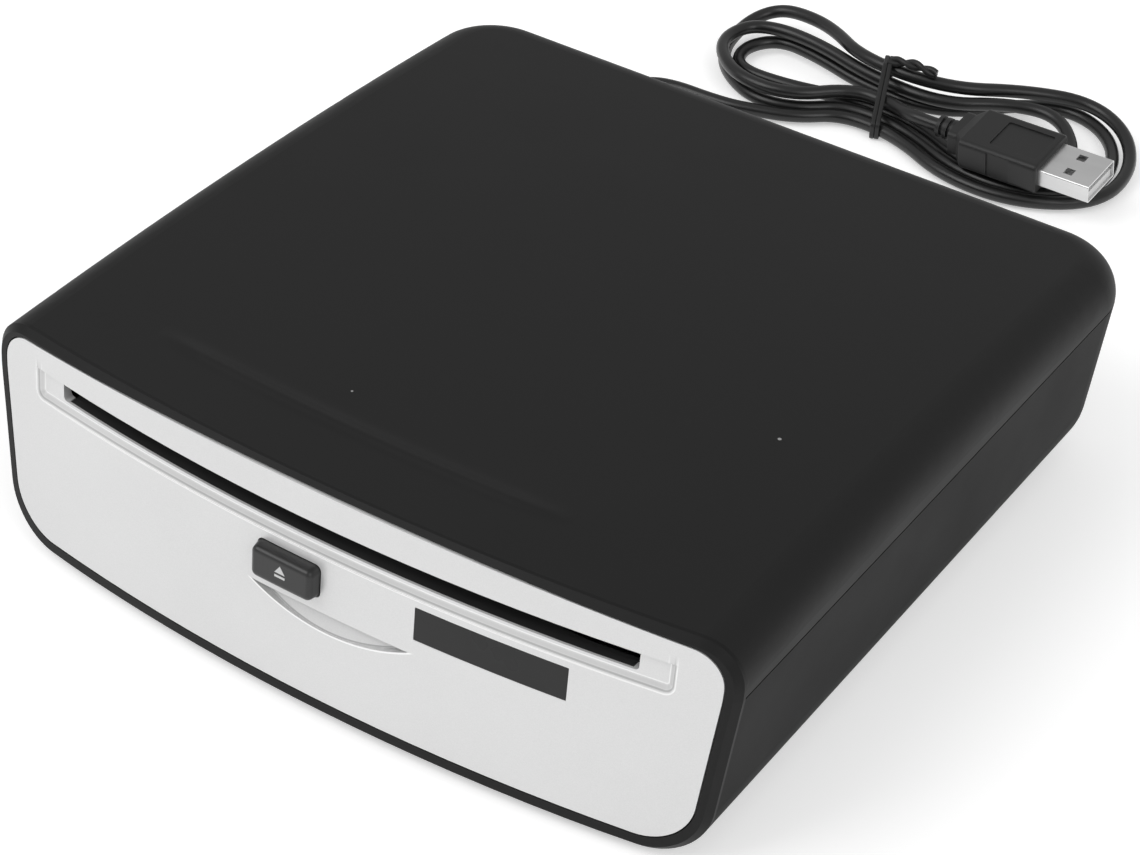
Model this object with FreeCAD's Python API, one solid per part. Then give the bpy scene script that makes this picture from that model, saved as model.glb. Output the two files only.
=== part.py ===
import FreeCAD, Part
import math
import os

V = FreeCAD.Vector
X_AXIS = V(1, 0, 0)
Y_AXIS = V(0, 1, 0)
Z_AXIS = V(0, 0, 1)

# An external slot-loading disc drive with a wound lead. All sizes are in millimetres.
# X runs to the right seen from the front, Y to the back, Z up, and the feet stand on Z = 0.

# Casing
case_width = 162.0
case_depth = 158.4
case_height = 45.2
rear_y = 83.4
foot_proud = 1.5
wall = 2.2
seam_height = 37.4
seam_gap = 0.3
seam_lip_height = 1.5
seam_lip_inset = 1.25
lip_clearance = 0.1
side_taper = 2.1
taper_height = 24.3
bottom_radius = 13.0
corner_radius = 15.8
roof_edge_radius = 8.5
roof_rise = 2.1
roof_swell = 2.4
roof_crown = 1.8
front_bow = 7.9
front_lean = 3.07

# Front ring and panel
ring_depth = 2.0
ring_bevel = 1.2
ring_side = 2.9
ring_bottom = 3.4
skirt_depth = 4.0
skirt_inset = 1.15
rebate_wall = 1.0
rebate_spare = 0.3
panel_thickness = 1.5
panel_gap = 0.25
panel_shoulder_top = 47.0
panel_apex = 51.4
panel_apex_radius = 1160.0
panel_bottom_radius = 10.5
panel_top_radius = 6.5
panel_side_radius = 30.0
ledge_width = 2.2
ledge_thickness = 1.5
ledge_clearance = 0.3
backing_thickness = 1.5

# Slot and the shallow recess around it
slot_half = 62.8
slot_bottom = 38.6
slot_top = 43.0
slot_corner = 0.8
recess_left = -69.5
recess_right = 69.8
recess_bottom = 36.4
recess_depth = 1.0
recess_bevel = 1.5
recess_wall_left = 0.05
recess_corner = 2.0
slot_skin = 0.5
backing_half = 72.0
backing_below = 1.0
backing_top = 45.0
lip_half = 61.5
lip_rear_setback = 1.9
lip_thickness = 1.2
lip_drop = 0.1
lip_flange = 1.1

# Window, display, eject button and the pocket under it
window_left = 21.0
window_right = 50.9
window_bottom = 27.9
window_top = 34.8
window_thickness = 1.0
window_gap = 0.08
window_corner = 0.15
window_ledge = 0.8
button_left = -12.9
button_right = 1.0
button_bottom = 27.4
button_top = 34.3
button_proud = 2.6
button_draft = 0.3
button_round = 1.1
button_corner = 1.3
button_gap = 0.15
button_flange = 0.7
button_flange_thickness = 0.8
button_flange_gap = 0.3
button_travel = 0.6
button_stem_radius = 1.5
pocket_left = -14.1
pocket_right = 19.9
pocket_top = 24.5
pocket_low = 20.55
pocket_deep = 1.9
pocket_shallow = 0.25
pocket_backing_margin = 1.6

# Front board behind the panel
front_board_setback = 1.4
front_board_left = -20.0
front_board_right = 56.0
front_board_bottom = 12.0
front_board_top = 35.0
board_thickness = 1.6
front_post_radius = 2.4
front_post_inset_x = 4.0
front_post_inset_z = 4.0
switch_size = 6.0
switch_depth = 2.6
plunger_radius = 1.6
plunger_proud = 1.0
plunger_length = 2.6
display_depth = 2.2
display_margin = 0.9

# Feet and case screws
foot_radius = 6.0
foot_x = 56.0
foot_y = 56.0
foot_recess = 0.8
post_x = 71.5
post_front_y = -24.0
post_rear_y = 58.0
post_join_z = 30.0
shell_post_radius = 3.8
cover_post_radius = 3.2
access_radius = 2.9
seat_thickness = 4.0
case_screw_radius = 1.45
case_screw_length = 11.0
case_head_radius = 2.7
case_head_height = 2.0
screw_clearance = 0.25

# Drive tray, cover and their fixings
tray_half = 65.0
tray_front_setback = 9.0
tray_rear_y = 67.5
tray_floor_z = 12.0
tray_sheet = 1.0
tray_top_z = 43.2
cover_sheet = 0.8
tab_half = 4.0
tab_reach = 5.0
tab_front_y = -33.0
tab_rear_y = 40.0
disc_x = 0.0
disc_y = 8.0
cover_hole_radius = 15.0
mount_x = 56.0
mount_y = 50.0
mount_radius = 5.0
damper_radius = 6.0
damper_height = 3.0
drive_screw_radius = 1.4
drive_screw_length = 8.0
drive_head_radius = 3.0
drive_head_height = 1.2
small_screw_radius = 0.95
small_screw_length = 4.6
small_head_radius = 1.9
small_head_height = 1.2

# Load roller and its gear train
roller_y = -58.0
roller_z = 35.0
roller_radius = 3.4
roller_waist = 2.8
roller_half = 54.0
shaft_radius = 1.5
shaft_left = -66.2
shaft_right = 69.3
running_gap = 0.05
bush_radius = 2.5
bush_flange_radius = 3.5
bush_flange = 0.8
gear_module = 0.5
roller_teeth = 24
idler_small_teeth = 12
idler_big_teeth = 30
pinion_teeth = 10
tooth_share = 0.76
inner_gear_x = 66.0
inner_gear_face = 3.0
outer_gear_x = 69.6
outer_gear_face = 2.9
idler_post_radius = 1.0
idler_collar_radius = 1.8
idler_collar = 0.8
idler_post_spare = 0.8
motor_y = -46.0
motor_z = 24.0
motor_radius = 8.0
motor_length = 18.0
motor_boss_radius = 3.5
motor_shaft_radius = 0.75
motor_shaft_depth = 5.0

# Traverse deck, spindle and clamp
deck_half = 61.0
deck_front_y = -24.0
deck_rear_y = 56.0
deck_z = 32.4
deck_sheet = 1.6
deck_hinge_y = 62.0
deck_hinge_z = 23.0
deck_drop = 4.5
deck_pin_radius = 1.5
deck_ear = 2.0
deck_ear_length = 9.0
deck_ear_radius = 3.6
deck_flange_drop = 5.4
spindle_motor_radius = 11.0
spindle_motor_height = 8.0
spindle_shaft_radius = 1.0
spindle_boss_radius = 3.0
turntable_radius = 14.0
turntable_z = 38.0
turntable_plate = 1.6
pad_height = 0.6
pad_inner_radius = 9.0
hub_radius = 7.4
hub_shoulder = 1.0
hub_nose_radius = 5.0
hub_height = 4.0
clamp_hinge_y = 60.0
clamp_hinge_z = 44.6
clamp_lift = 2.2
clamp_sheet = 0.8
clamp_ring_radius = 11.6
clamp_bar_half = 7.0
clamp_barrel_half = 12.0
clamp_barrel_radius = 1.1
clamp_pin_radius = 0.6
clamp_ear = 2.0
clamp_ear_gap = 0.15
clamp_ear_depth = 4.0
puck_radius = 11.0
puck_height = 1.2
puck_gap = 0.1
puck_bowl_clearance = 0.2
puck_neck_radius = 5.6
puck_flange_radius = 7.6
puck_flange = 0.5
disc_thickness = 1.2

# Pickup sled, its rods and its screw
rod_z = 30.0
rod_radius = 1.5
rod_spread = 14.0
rod_left = 10.5
rod_right = 61.0
bracket_thickness = 2.0
bracket_margin = 2.4
lens_rest_x = 23.0
sled_travel = 31.0
sled_before = 6.0
sled_after = 4.0
sled_bottom = 28.0
sled_top = 31.9
tower_half = 6.0
tower_before = 4.5
tower_after = 3.0
tower_top = 36.0
lens_radius = 2.2
lens_height = 1.2
window_margin = 1.5
screw_y = -12.5
screw_radius = 1.4
screw_pitch = 3.0
screw_groove = 0.3
nut_half = 3.2
sled_motor_radius = 6.0
sled_motor_length = 14.0

# Cam slider that lifts the deck
cam_y = -27.6
cam_sheet = 1.5
cam_half = 36.0
cam_top_z = 33.4
cam_floor_gap = 0.1
cam_travel = 14.0
cam_pin_x = 25.0
cam_pin_z = 30.0
cam_pin_length = 4.6
cam_slot_gap = 0.15
cam_guide_x = 18.0
cam_guide_half = 2.0
cam_guide_height = 5.0
cam_guide_sheet = 1.3

# Boards
main_board_half = 49.0
main_board_front = -34.0
main_board_rear = 60.0
main_board_z = 7.0
board_post_x = 42.0
board_post_front = -28.0
board_post_rear = 54.0
board_post_radius = 3.0
chip_height = 1.2
big_chip = 14.0
small_chip = 7.0
capacitor_radius = 2.6
capacitor_height = 2.8
header_width = 8.0
header_depth = 7.0
header_height = 2.8
header_x = -33.0
ribbon_x = 24.0
ribbon_width = 10.0
ribbon_thickness = 0.3
ribbon_socket_depth = 3.0
ribbon_socket_height = 2.2

# Lead, its strain relief and its wound hank
cord_diameter = 3.2
relief_x = -58.0
relief_z = 20.0
relief_neck_radius = 3.5
relief_flange_radius = 5.0
relief_flange = 1.3
relief_boot = 12.0
relief_boot_radius = 3.9
relief_tip_radius = 2.4
relief_rings = 5
relief_ring_depth = 0.5
inner_cable_diameter = 1.6
hank_step = 3.8
hank_low = 2.3
hank_rise = 3.8
hank_loops = 3
hank_x = -19.0
hank_y = 166.5
hank_end_straight = 3.4
waist_turn = -3.0
waist_near = -9.4
waist_far = 4.8
waist_top_lift = 0.3

# Places round the hank, measured across and along from the middle of its waist:
# the lead comes in, then each loop has its near side, its end, its far side and their lift
lead_in = (-36.0, -22.6)
lead_bend = (-20.0, -19.0)
lead_bend_turn = 20.0
right_near = (35.0, -18.9)
right_end = (60.3, 2.0)
right_far = (37.0, 26.3)
right_far_lift = 5.4
right_far_turn = 182.0
second_far = (36.5, 21.8)
third_end = (47.5, 1.0)
third_end_lift = 1.5
third_far = (32.0, 14.2)
far_loop_back = (-35.5, 19.6)
far_loop_lift = 5.0
far_loop_turn = 174.0
far_loop_end = (-47.5, 15.5)
far_loop_end_turn = -92.0
inner_loop_back = (-33.0, 8.8)
inner_loop_turn = 172.0
inner_loop_end = (-41.5, 2.4)
inner_loop_near = (-29.0, -5.6)
inner_loop_near_turn = -4.0
upper_loop_back = (-31.0, 11.0)
upper_loop_turn = 178.0
upper_loop_end = (-44.6, 1.5)
upper_loop_near = (-24.0, -15.6)
upper_loop_near_turn = 6.0
tie_thickness = 0.6
tie_width = 1.6
tie_spare = 0.35
tie_side_spare = 0.7
tie_turn = 12.0
tie_corner = 1.5
tie_twist_length = 12.5
tie_twist_radius = 0.62
tie_twist_swing = 0.5
tie_twist_steps = 7
tie_twist_drop = 0.8

# Plug, from the tip of its relief, with its turn, its rise and its roll
plug_x = 0.3
plug_y = 157.2
plug_z = 8.7
plug_turn = -3.3
plug_rise = 2.9
plug_roll = 8.2
plug_length = 24.6
plug_width = 15.2
plug_height = 7.9
plug_round = 1.4
plug_edge_round = 0.5
plug_neck_length = 2.2
plug_shoulder_length = 2.3
plug_neck_width = 10.4
plug_neck_height = 6.2
plug_relief_length = 5.0
plug_relief_radius = 2.6
plug_relief_rings = 2
plug_ring_start = 1.0
plug_ring_pitch = 1.9
plug_ring_width = 0.8
plug_ring_depth = 0.6
plug_grip_depth = 0.35
plug_grip_start = 7.2
plug_grip_length = 6.0
plug_grip_height = 6.4
plug_inlay_start = 6.4
plug_inlay_length = 12.2
plug_inlay_width = 9.6
plug_inlay_depth = 0.3
plug_inlay_corner = 0.6
shell_width = 12.0
shell_height = 4.5
shell_length = 12.8
shell_corner = 0.4
shell_inner_corner = 0.2
shell_seat = 0.5
shell_bury = 4.0
shell_wall = 0.3
shell_hole = 2.2
shell_hole_back = 5.2
shell_hole_spread = 2.9
tongue_width = 11.2
tongue_height = 1.8
tongue_back = 0.6

# Values that follow from the sizes above
half_width = case_width/2
shell_z = foot_proud
top_z = shell_z + case_height
seam_z = shell_z + seam_height
front_y = rear_y - case_depth
lip_rear_y = front_y + lip_rear_setback
front_board_y = front_y + front_board_setback
tray_front_y = front_y + tray_front_setback
lean_rate = front_lean/case_height
taper_angle = math.atan2(side_taper, taper_height)
far_out = half_width + 9.0
bow_radius = (half_width**2 + front_bow**2)/(2*front_bow)
floor_z = shell_z + wall
panel_half = half_width - ring_side
panel_bottom = shell_z + ring_bottom
cover_z = tray_top_z
cord_radius = cord_diameter/2

nodes = {}


def keep(name, shape):
    nodes[name] = shape
    return shape


# Simple solids
def box(x0, x1, y0, y1, z0, z1):
    return Part.makeBox(x1 - x0, y1 - y0, z1 - z0, V(x0, y0, z0))


def rod(radius, length, start, axis=Z_AXIS):
    return Part.makeCylinder(radius, length, start, axis)


def tube(outer, inner, length, start, axis=Z_AXIS):
    return rod(outer, length, start, axis).cut(rod(inner, length, start, axis))


def joined(shapes):
    result = shapes[0]
    if len(shapes) > 1:
        result = result.fuse(shapes[1:])
    return result.removeSplitter()


def group(shapes):
    return Part.makeCompound(shapes)


def turned(shape, point, axis, degrees):
    result = shape.copy()
    result.rotate(point, axis, degrees)
    return result


# A closed outline with rounded corners, given as (a, b, radius) and placed in space by a function
def outline(corners, place):
    count = len(corners)
    cuts = []
    for k in range(count):
        a, b, radius = corners[k]
        here = V(a, b, 0)
        before = V(corners[k - 1][0], corners[k - 1][1], 0)
        after = V(corners[(k + 1) % count][0], corners[(k + 1) % count][1], 0)
        into = (here - before).normalize()
        out = (after - here).normalize()
        turn = math.acos(max(-1.0, min(1.0, into.dot(out))))
        reach = radius*math.tan(turn/2)
        first = here - into*reach
        last = here + out*reach
        middle = here
        if reach > 0:
            inward = (out - into).normalize()
            middle = here + inward*(radius/math.cos(turn/2) - radius)
        cuts.append((first, middle, last, reach > 0))
    edges = []
    for k in range(count):
        first, middle, last, is_round = cuts[k]
        if is_round:
            points = [place(p.x, p.y) for p in (first, middle, last)]
            edges.append(Part.Arc(*points).toShape())
        following = cuts[(k + 1) % count][0]
        if last.distanceToPoint(following) > 1e-6:
            edges.append(Part.makeLine(place(last.x, last.y), place(following.x, following.y)))
    return Part.Wire(edges)


def front_prism(corners, y0, y1):
    wire = outline(corners, lambda a, b: V(a, y0, b))
    return Part.Face(wire).extrude(V(0, y1 - y0, 0))


def top_prism(corners, z0, z1):
    wire = outline(corners, lambda a, b: V(a, b, z0))
    return Part.Face(wire).extrude(V(0, 0, z1 - z0))


def side_prism(corners, x0, x1):
    wire = outline(corners, lambda a, b: V(x0, a, b))
    return Part.Face(wire).extrude(V(x1 - x0, 0, 0))


def rectangle(a0, a1, b0, b1, radius=0.0):
    return [(a0, b0, radius), (a1, b0, radius), (a1, b1, radius), (a0, b1, radius)]


# The bowed, leaning front face
def bow_at(x):
    return bow_radius - math.sqrt(bow_radius**2 - x**2) - front_bow


def front_surface(x, z):
    return front_y + lean_rate*(z - shell_z) + bow_at(x)/math.cos(math.atan(lean_rate))


def front_arc(y, z, reach):
    return Part.Arc(V(-reach, y + bow_at(reach), z), V(0, y + bow_at(0), z), V(reach, y + bow_at(reach), z))


space_below = 30.0
space_above = 80.0


def front_region(first, last, pivot_y, pivot_z, rate):
    low = pivot_z - space_below
    ends = bow_at(far_out)
    y0 = pivot_y + first
    edges = [front_arc(y0, low, far_out).toShape()]
    if last is None:
        back = rear_y + case_depth
        corners = [V(far_out, y0 + ends, low), V(far_out, back, low), V(-far_out, back, low),
                   V(-far_out, y0 + ends, low)]
        edges += [Part.makeLine(p, q) for p, q in zip(corners, corners[1:])]
    else:
        y1 = pivot_y + last
        edges.append(Part.makeLine(V(far_out, y0 + ends, low), V(far_out, y1 + ends, low)))
        edges.append(front_arc(y1, low, far_out).toShape())
        edges.append(Part.makeLine(V(-far_out, y1 + ends, low), V(-far_out, y0 + ends, low)))
    solid = Part.Face(Part.Wire(edges)).extrude(V(0, 0, space_below + space_above))
    solid.rotate(V(0, pivot_y, pivot_z), X_AXIS, -math.degrees(math.atan(rate)))
    return solid


def front_space(inset):
    return front_region(inset, None, front_y, shell_z, lean_rate)


def front_slab(first, last):
    return front_region(first, last, front_y, shell_z, lean_rate)


prism_front = front_y - front_bow - 20.0
prism_back = front_y + 30.0


def front_plate(corners, first, last):
    return front_prism(corners, prism_front, prism_back).common(front_slab(first, last))


# Lower casing: straight walls, tapered and rounded into the bottom, with rounded rear corners
def lower_profile(inset, top):
    radius = bottom_radius - inset
    centre_z = shell_z + bottom_radius
    sine = math.sin(taper_angle)
    cosine = math.cos(taper_angle)
    centre = (bottom_radius + (seam_z - centre_z)*sine)/cosine
    top_in = inset/cosine - (top - seam_z)*sine/cosine
    tangent = (centre - radius*cosine, centre_z - radius*sine)
    half = (taper_angle + math.pi/2)/2
    middle = (centre - radius*math.cos(half), centre_z - radius*math.sin(half))
    lowest = (centre, centre_z - radius)
    return (top_in, top), tangent, middle, lowest


def profile_edges(profile, place):
    start, tangent, middle, lowest = [place(d, z) for d, z in profile]
    return [Part.makeLine(start, tangent), Part.Arc(tangent, middle, lowest).toShape()]


def lower_body(inset, top):
    profile = lower_profile(inset, top)
    d_top = profile[0][0]
    z_low = profile[3][1]
    corner_x = half_width - corner_radius
    corner_y = rear_y - corner_radius

    def right(d, z):
        return V(half_width - d, prism_front, z)

    def left(d, z):
        return V(d - half_width, prism_front, z)

    edges = profile_edges(profile, right)
    edges.append(Part.makeLine(right(*profile[3]), left(*profile[3])))
    edges += profile_edges(profile, left)
    edges.append(Part.makeLine(left(*profile[0]), right(*profile[0])))
    wire = Part.Wire(Part.__sortEdges__(edges))
    parts = [Part.Face(wire).extrude(V(0, corner_y - prism_front, 0))]

    def back(d, z):
        return V(-corner_x, rear_y - d, z)

    inner_y = corner_y - 1.0
    edges = profile_edges(profile, back)
    edges.append(Part.makeLine(back(*profile[3]), V(-corner_x, inner_y, z_low)))
    edges.append(Part.makeLine(V(-corner_x, inner_y, z_low), V(-corner_x, inner_y, top)))
    edges.append(Part.makeLine(V(-corner_x, inner_y, top), back(*profile[0])))
    wire = Part.Wire(Part.__sortEdges__(edges))
    parts.append(Part.Face(wire).extrude(V(2*corner_x, 0, 0)))
    for side in (-1, 1):
        def around(d, z):
            return V(side*corner_x, corner_y + corner_radius - d, z)
        edges = profile_edges(profile, around)
        axis_low = V(side*corner_x, corner_y, z_low)
        axis_top = V(side*corner_x, corner_y, top)
        edges.append(Part.makeLine(around(*profile[3]), axis_low))
        edges.append(Part.makeLine(axis_low, axis_top))
        edges.append(Part.makeLine(axis_top, around(*profile[0])))
        wire = Part.Wire(Part.__sortEdges__(edges))
        parts.append(Part.Face(wire).revolve(axis_low, Z_AXIS, -side*90))
    return joined(parts)


# Upper casing: upright walls under a swelling roof with a broad round edge
def roof_height(x, y):
    v = (rear_y - y)/case_depth
    crown = roof_crown*v**3*(1 - (x/half_width)**2)
    return top_z + roof_rise*v + 4*roof_swell*v*(1 - v) + crown


roof_columns = 9
roof_rows = 15


def under_roof(drop):
    grid = []
    for i in range(roof_columns):
        x = -far_out + 2*far_out*i/(roof_columns - 1)
        row = []
        for j in range(roof_rows):
            y = prism_front - 2.0 + (rear_y + 8.0 - prism_front + 2.0)*j/(roof_rows - 1)
            row.append(V(x, y, roof_height(x, y) - drop))
        grid.append(row)
    surface = Part.BSplineSurface()
    surface.interpolate(grid)
    return surface.toShape().extrude(V(0, 0, -case_height - 20.0))


def plan_corners(inset):
    edge = half_width - inset
    back = rear_y - inset
    radius = corner_radius - inset
    return [(-edge, prism_front, 0), (edge, prism_front, 0), (edge, back, radius), (-edge, back, radius)]


def plan_prism(inset, z0, z1):
    return top_prism(plan_corners(inset), z0, z1)


def upper_body(inset):
    block = plan_prism(inset, seam_z - 14.0, top_z + 20.0).common(under_roof(inset))
    rim = []
    for edge in block.Edges:
        ends = [v.Point for v in edge.Vertexes]
        middle = edge.valueAt((edge.FirstParameter + edge.LastParameter)/2)
        high = min([p.z for p in ends] + [middle.z]) > seam_z + 2.0
        upright = abs(ends[0].z - ends[-1].z) > 5.0
        at_front = max(p.y for p in ends) < prism_front + 1.0
        if high and not upright and not at_front:
            rim.append(edge)
    return block.makeFillet(roof_edge_radius - inset, rim)


print("casing bodies")
lower_outer = lower_body(0, seam_z)
lower_inner = lower_body(wall, seam_z + 4.0)
upper_outer = upper_body(0)
upper_inner = upper_body(wall)
above_seam = box(-far_out, far_out, prism_front - 5, rear_y + 5, seam_z, top_z + 20)
casing = joined([upper_outer.common(above_seam), lower_outer])
skirt_body = joined([upper_body(skirt_inset).common(above_seam), lower_body(skirt_inset, seam_z)])
rebate_lower = lower_body(rebate_wall, seam_z + 4.0)
rebate_upper = upper_body(rebate_wall)


# Panel outline, grown or shrunk evenly
def panel_corners(grow):
    half = panel_half + grow
    low = panel_bottom - grow
    low_half = half - math.tan(taper_angle)*(seam_z - low)
    return [(-low_half, low, panel_bottom_radius + grow), (low_half, low, panel_bottom_radius + grow),
            (half, seam_z, panel_side_radius), (half, panel_shoulder_top + grow, panel_top_radius + grow),
            (0, panel_apex + grow, panel_apex_radius + grow),
            (-half, panel_shoulder_top + grow, panel_top_radius + grow), (-half, seam_z, panel_side_radius)]


# Front ring with its bevelled rim, plugged into both casing halves
print("front ring")
ring_blank = casing.common(front_slab(0, ring_depth))
rim = []
for edge in ring_blank.Edges:
    middle = edge.valueAt((edge.FirstParameter + edge.LastParameter)/2)
    ends = [v.Point for v in edge.Vertexes]
    points = [middle] + ends
    if all(abs(p.y - front_surface(p.x, p.z)) < 0.05 for p in points):
        rim.append(edge)
try:
    ring_body = ring_blank.makeChamfer(ring_bevel, rim)
    if not ring_body.isValid() or ring_body.Volume > ring_blank.Volume:
        raise ValueError("bevel")
    print("ring bevel", len(rim), "edges")
except Exception as error:
    print("ring bevel left out:", error)
    ring_body = ring_blank
skirt_end = ring_depth + skirt_depth
skirt = skirt_body.common(front_slab(ring_depth, skirt_end))
frame = joined([ring_body, skirt])
frame = frame.cut(front_plate(panel_corners(panel_gap), -5.0, panel_thickness))
frame = frame.cut(front_plate(panel_corners(-ledge_width), -5.0, skirt_end + 1.0))
ledge_end = panel_thickness + ledge_thickness
frame = frame.cut(front_plate(panel_corners(-1.0), ledge_end, skirt_end + 1.0))
keep("front_frame", frame)

# Casing halves
print("casing halves")
rebate_space = front_slab(ring_depth - 1.0, skirt_end + rebate_spare)
behind_ring = front_space(ring_depth)


def four(x, y_front, y_rear):
    return [(-x, y_front), (x, y_front), (-x, y_rear), (x, y_rear)]


posts = four(post_x, post_front_y, post_rear_y)
mounts = four(mount_x, -mount_y, mount_y)
feet = four(foot_x, -foot_y, foot_y)
board_posts = four(board_post_x, board_post_front, board_post_rear)
mount_top = tray_floor_z - damper_height
seat_z = post_join_z - seat_thickness
relief_wall_y = rear_y - math.tan(taper_angle)*(seam_z - relief_z)

shell = lower_outer.common(behind_ring)
shell = shell.cut(lower_inner)
shell = shell.cut(rebate_lower.common(rebate_space))
lip = plan_prism(seam_lip_inset, seam_z - wall, seam_z + seam_lip_height)
lip = lip.cut(plan_prism(wall, seam_z - wall - 1, seam_z + seam_lip_height + 1))
lip = lip.common(front_space(skirt_end + rebate_spare))
lip_root = lower_body(seam_lip_inset, seam_z + seam_lip_height)
shell = shell.fuse(lip.common(lip_root))
additions = [rod(shell_post_radius, post_join_z, V(x, y, 0)) for x, y in posts]
additions += [rod(mount_radius, mount_top, V(x, y, 0)) for x, y in mounts]
additions += [rod(board_post_radius, main_board_z, V(x, y, 0)) for x, y in board_posts]
for addition in additions:
    shell = shell.fuse(addition.common(lower_outer))
for x, y in posts:
    shell = shell.cut(rod(access_radius, seat_z, V(x, y, 0)))
    shell = shell.cut(rod(case_screw_radius + screw_clearance, post_join_z + 1, V(x, y, 0)))
for x, y in mounts:
    shell = shell.cut(rod(drive_screw_radius, drive_screw_length,
                          V(x, y, tray_floor_z + tray_sheet - drive_screw_length)))
for x, y in board_posts:
    top = main_board_z + board_thickness
    shell = shell.cut(rod(small_screw_radius, small_screw_length, V(x, y, top - small_screw_length)))
for x, y in feet:
    shell = shell.cut(rod(foot_radius, foot_recess + 1, V(x, y, shell_z + foot_recess - foot_recess - 1)))
shell = shell.cut(rod(relief_neck_radius, 10, V(relief_x, relief_wall_y - 6, relief_z), Y_AXIS))
keep("bottom_shell", shell.removeSplitter())

cover = upper_outer.common(behind_ring)
cover = cover.cut(upper_inner)
cover = cover.cut(rebate_upper.common(rebate_space))
cover = cover.cut(plan_prism(seam_lip_inset - lip_clearance, seam_z - 9,
                             seam_z + seam_lip_height + lip_clearance))
for x, y in posts:
    post = rod(cover_post_radius, top_z, V(x, y, post_join_z))
    cover = cover.fuse(post.common(upper_outer))
bottom_edge = seam_z + seam_gap
trim = box(-far_out, far_out, prism_front - 5, rear_y + 5, post_join_z - 30, bottom_edge)
keepers = [rod(cover_post_radius, bottom_edge - post_join_z + 1, V(x, y, post_join_z)) for x, y in posts]
lower_part = cover.common(group(keepers))
cover = cover.cut(trim).fuse(lower_part)
for x, y in posts:
    cover = cover.cut(rod(case_screw_radius, case_screw_length - seat_thickness, V(x, y, post_join_z)))
keep("top_cover", cover.removeSplitter())

screws = []
for x, y in posts:
    head = rod(case_head_radius, case_head_height, V(x, y, seat_z - case_head_height))
    shank = rod(case_screw_radius, case_screw_length, V(x, y, seat_z))
    recess = side_prism(rectangle(y - 0.4, y + 0.4, seat_z - case_head_height - 1, seat_z - 1), x - 1.6,
                        x + 1.6)
    recess = recess.fuse(front_prism(rectangle(x - 0.4, x + 0.4, seat_z - case_head_height - 1, seat_z - 1),
                                     y - 1.6, y + 1.6))
    screws.append(head.fuse(shank).cut(recess).removeSplitter())
keep("case_screws", group(screws))
keep("rubber_feet", group([rod(foot_radius, foot_proud, V(x, y, 0)) for x, y in feet]))


# Front panel with the slot, its recess and the pocket under the button
print("front panel")


def plain_rectangle(left, right, bottom, top, grow=0.0, radius=0.0):
    return rectangle(left - grow, right + grow, bottom - grow, top + grow, radius)


button_x = (button_left + button_right)/2
button_z = (button_bottom + button_top)/2
panel = front_plate(panel_corners(0), 0, panel_thickness)
backing_end = panel_thickness + backing_thickness
backing = plain_rectangle(-backing_half, backing_half, recess_bottom - backing_below, backing_top, 0,
                          recess_corner)
panel = panel.fuse(front_plate(backing, panel_thickness, backing_end))
pocket_pad = plain_rectangle(pocket_left, pocket_right, pocket_low, pocket_top, pocket_backing_margin,
                             recess_corner)
panel = panel.fuse(front_plate(pocket_pad, panel_thickness, backing_end))
pocket_middle = (pocket_left + pocket_right)/2
pocket_arc = Part.Arc(V(pocket_left, prism_front, pocket_top), V(pocket_middle, prism_front, pocket_low),
                      V(pocket_right, prism_front, pocket_top)).toShape()
pocket_chord = Part.makeLine(V(pocket_right, prism_front, pocket_top),
                             V(pocket_left, prism_front, pocket_top))
pocket = Part.Face(Part.Wire([pocket_arc, pocket_chord])).extrude(V(0, prism_back - prism_front, 0))
pocket_rate = lean_rate + (pocket_deep - pocket_shallow)/(pocket_top - pocket_low)
behind_pocket = front_region(pocket_shallow + front_bow, None, front_surface(0, pocket_low), pocket_low,
                             pocket_rate)
panel = panel.cut(pocket.cut(behind_pocket))
window_hole = plain_rectangle(window_left, window_right, window_bottom, window_top, window_gap, window_corner)
panel = panel.cut(front_plate(window_hole, -5.0, window_thickness))
window_sight = plain_rectangle(window_left, window_right, window_bottom, window_top, -window_ledge,
                               window_corner)
panel = panel.cut(front_prism(window_sight, prism_front, prism_back))
button_hole = plain_rectangle(button_left, button_right, button_bottom, button_top, button_gap, button_corner)
panel = panel.cut(front_prism(button_hole, prism_front, prism_back))
recess_outline = [(recess_left, recess_bottom, recess_corner), (recess_right, recess_bottom, recess_corner),
                  (recess_right, slot_top, 0), (recess_left, slot_top, 0)]
recess = front_plate(recess_outline, -recess_depth, recess_depth)
sloped = []
for edge in recess.Edges:
    middle = edge.valueAt((edge.FirstParameter + edge.LastParameter)/2)
    points = [middle] + [v.Point for v in edge.Vertexes]
    deep = all(abs(q.y - recess_depth - front_surface(q.x, q.z)) < 0.05 for q in points)
    if deep and middle.z < slot_top - slot_skin:
        sloped.append(edge)
print("recess edges", len(sloped), "plain", round(recess.Volume, 1))
recess = recess.makeChamfer(recess_depth - recess_wall_left, recess_bevel, sloped)
print("bevelled", recess.isValid(), round(recess.Volume, 1))
panel = panel.cut(recess)
slot = plain_rectangle(-slot_half, slot_half, slot_bottom, slot_top, 0, slot_corner)
panel = panel.cut(front_prism(slot, prism_front, prism_back))
lip_front = recess_depth + slot_skin
lip_top = slot_bottom - lip_drop
lip_bed = plain_rectangle(-lip_half, lip_half, lip_top - lip_thickness, slot_bottom, lip_clearance)
panel = panel.cut(front_prism(lip_bed, prism_front, prism_back).common(front_space(lip_front)))
front_posts = [(front_board_left + front_post_inset_x, front_board_bottom + front_post_inset_z),
               (front_board_right - front_post_inset_x, front_board_bottom + front_post_inset_z)]
inside_front = front_space(panel_thickness)
for x, z in front_posts:
    post = rod(front_post_radius, front_board_y - prism_front, V(x, prism_front, z), Y_AXIS)
    panel = panel.fuse(post.common(inside_front))
    panel = panel.cut(rod(small_screw_radius, small_screw_length - board_thickness,
                          V(x, front_board_y - small_screw_length + board_thickness, z), Y_AXIS))
keep("front_panel", panel.removeSplitter())

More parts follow.
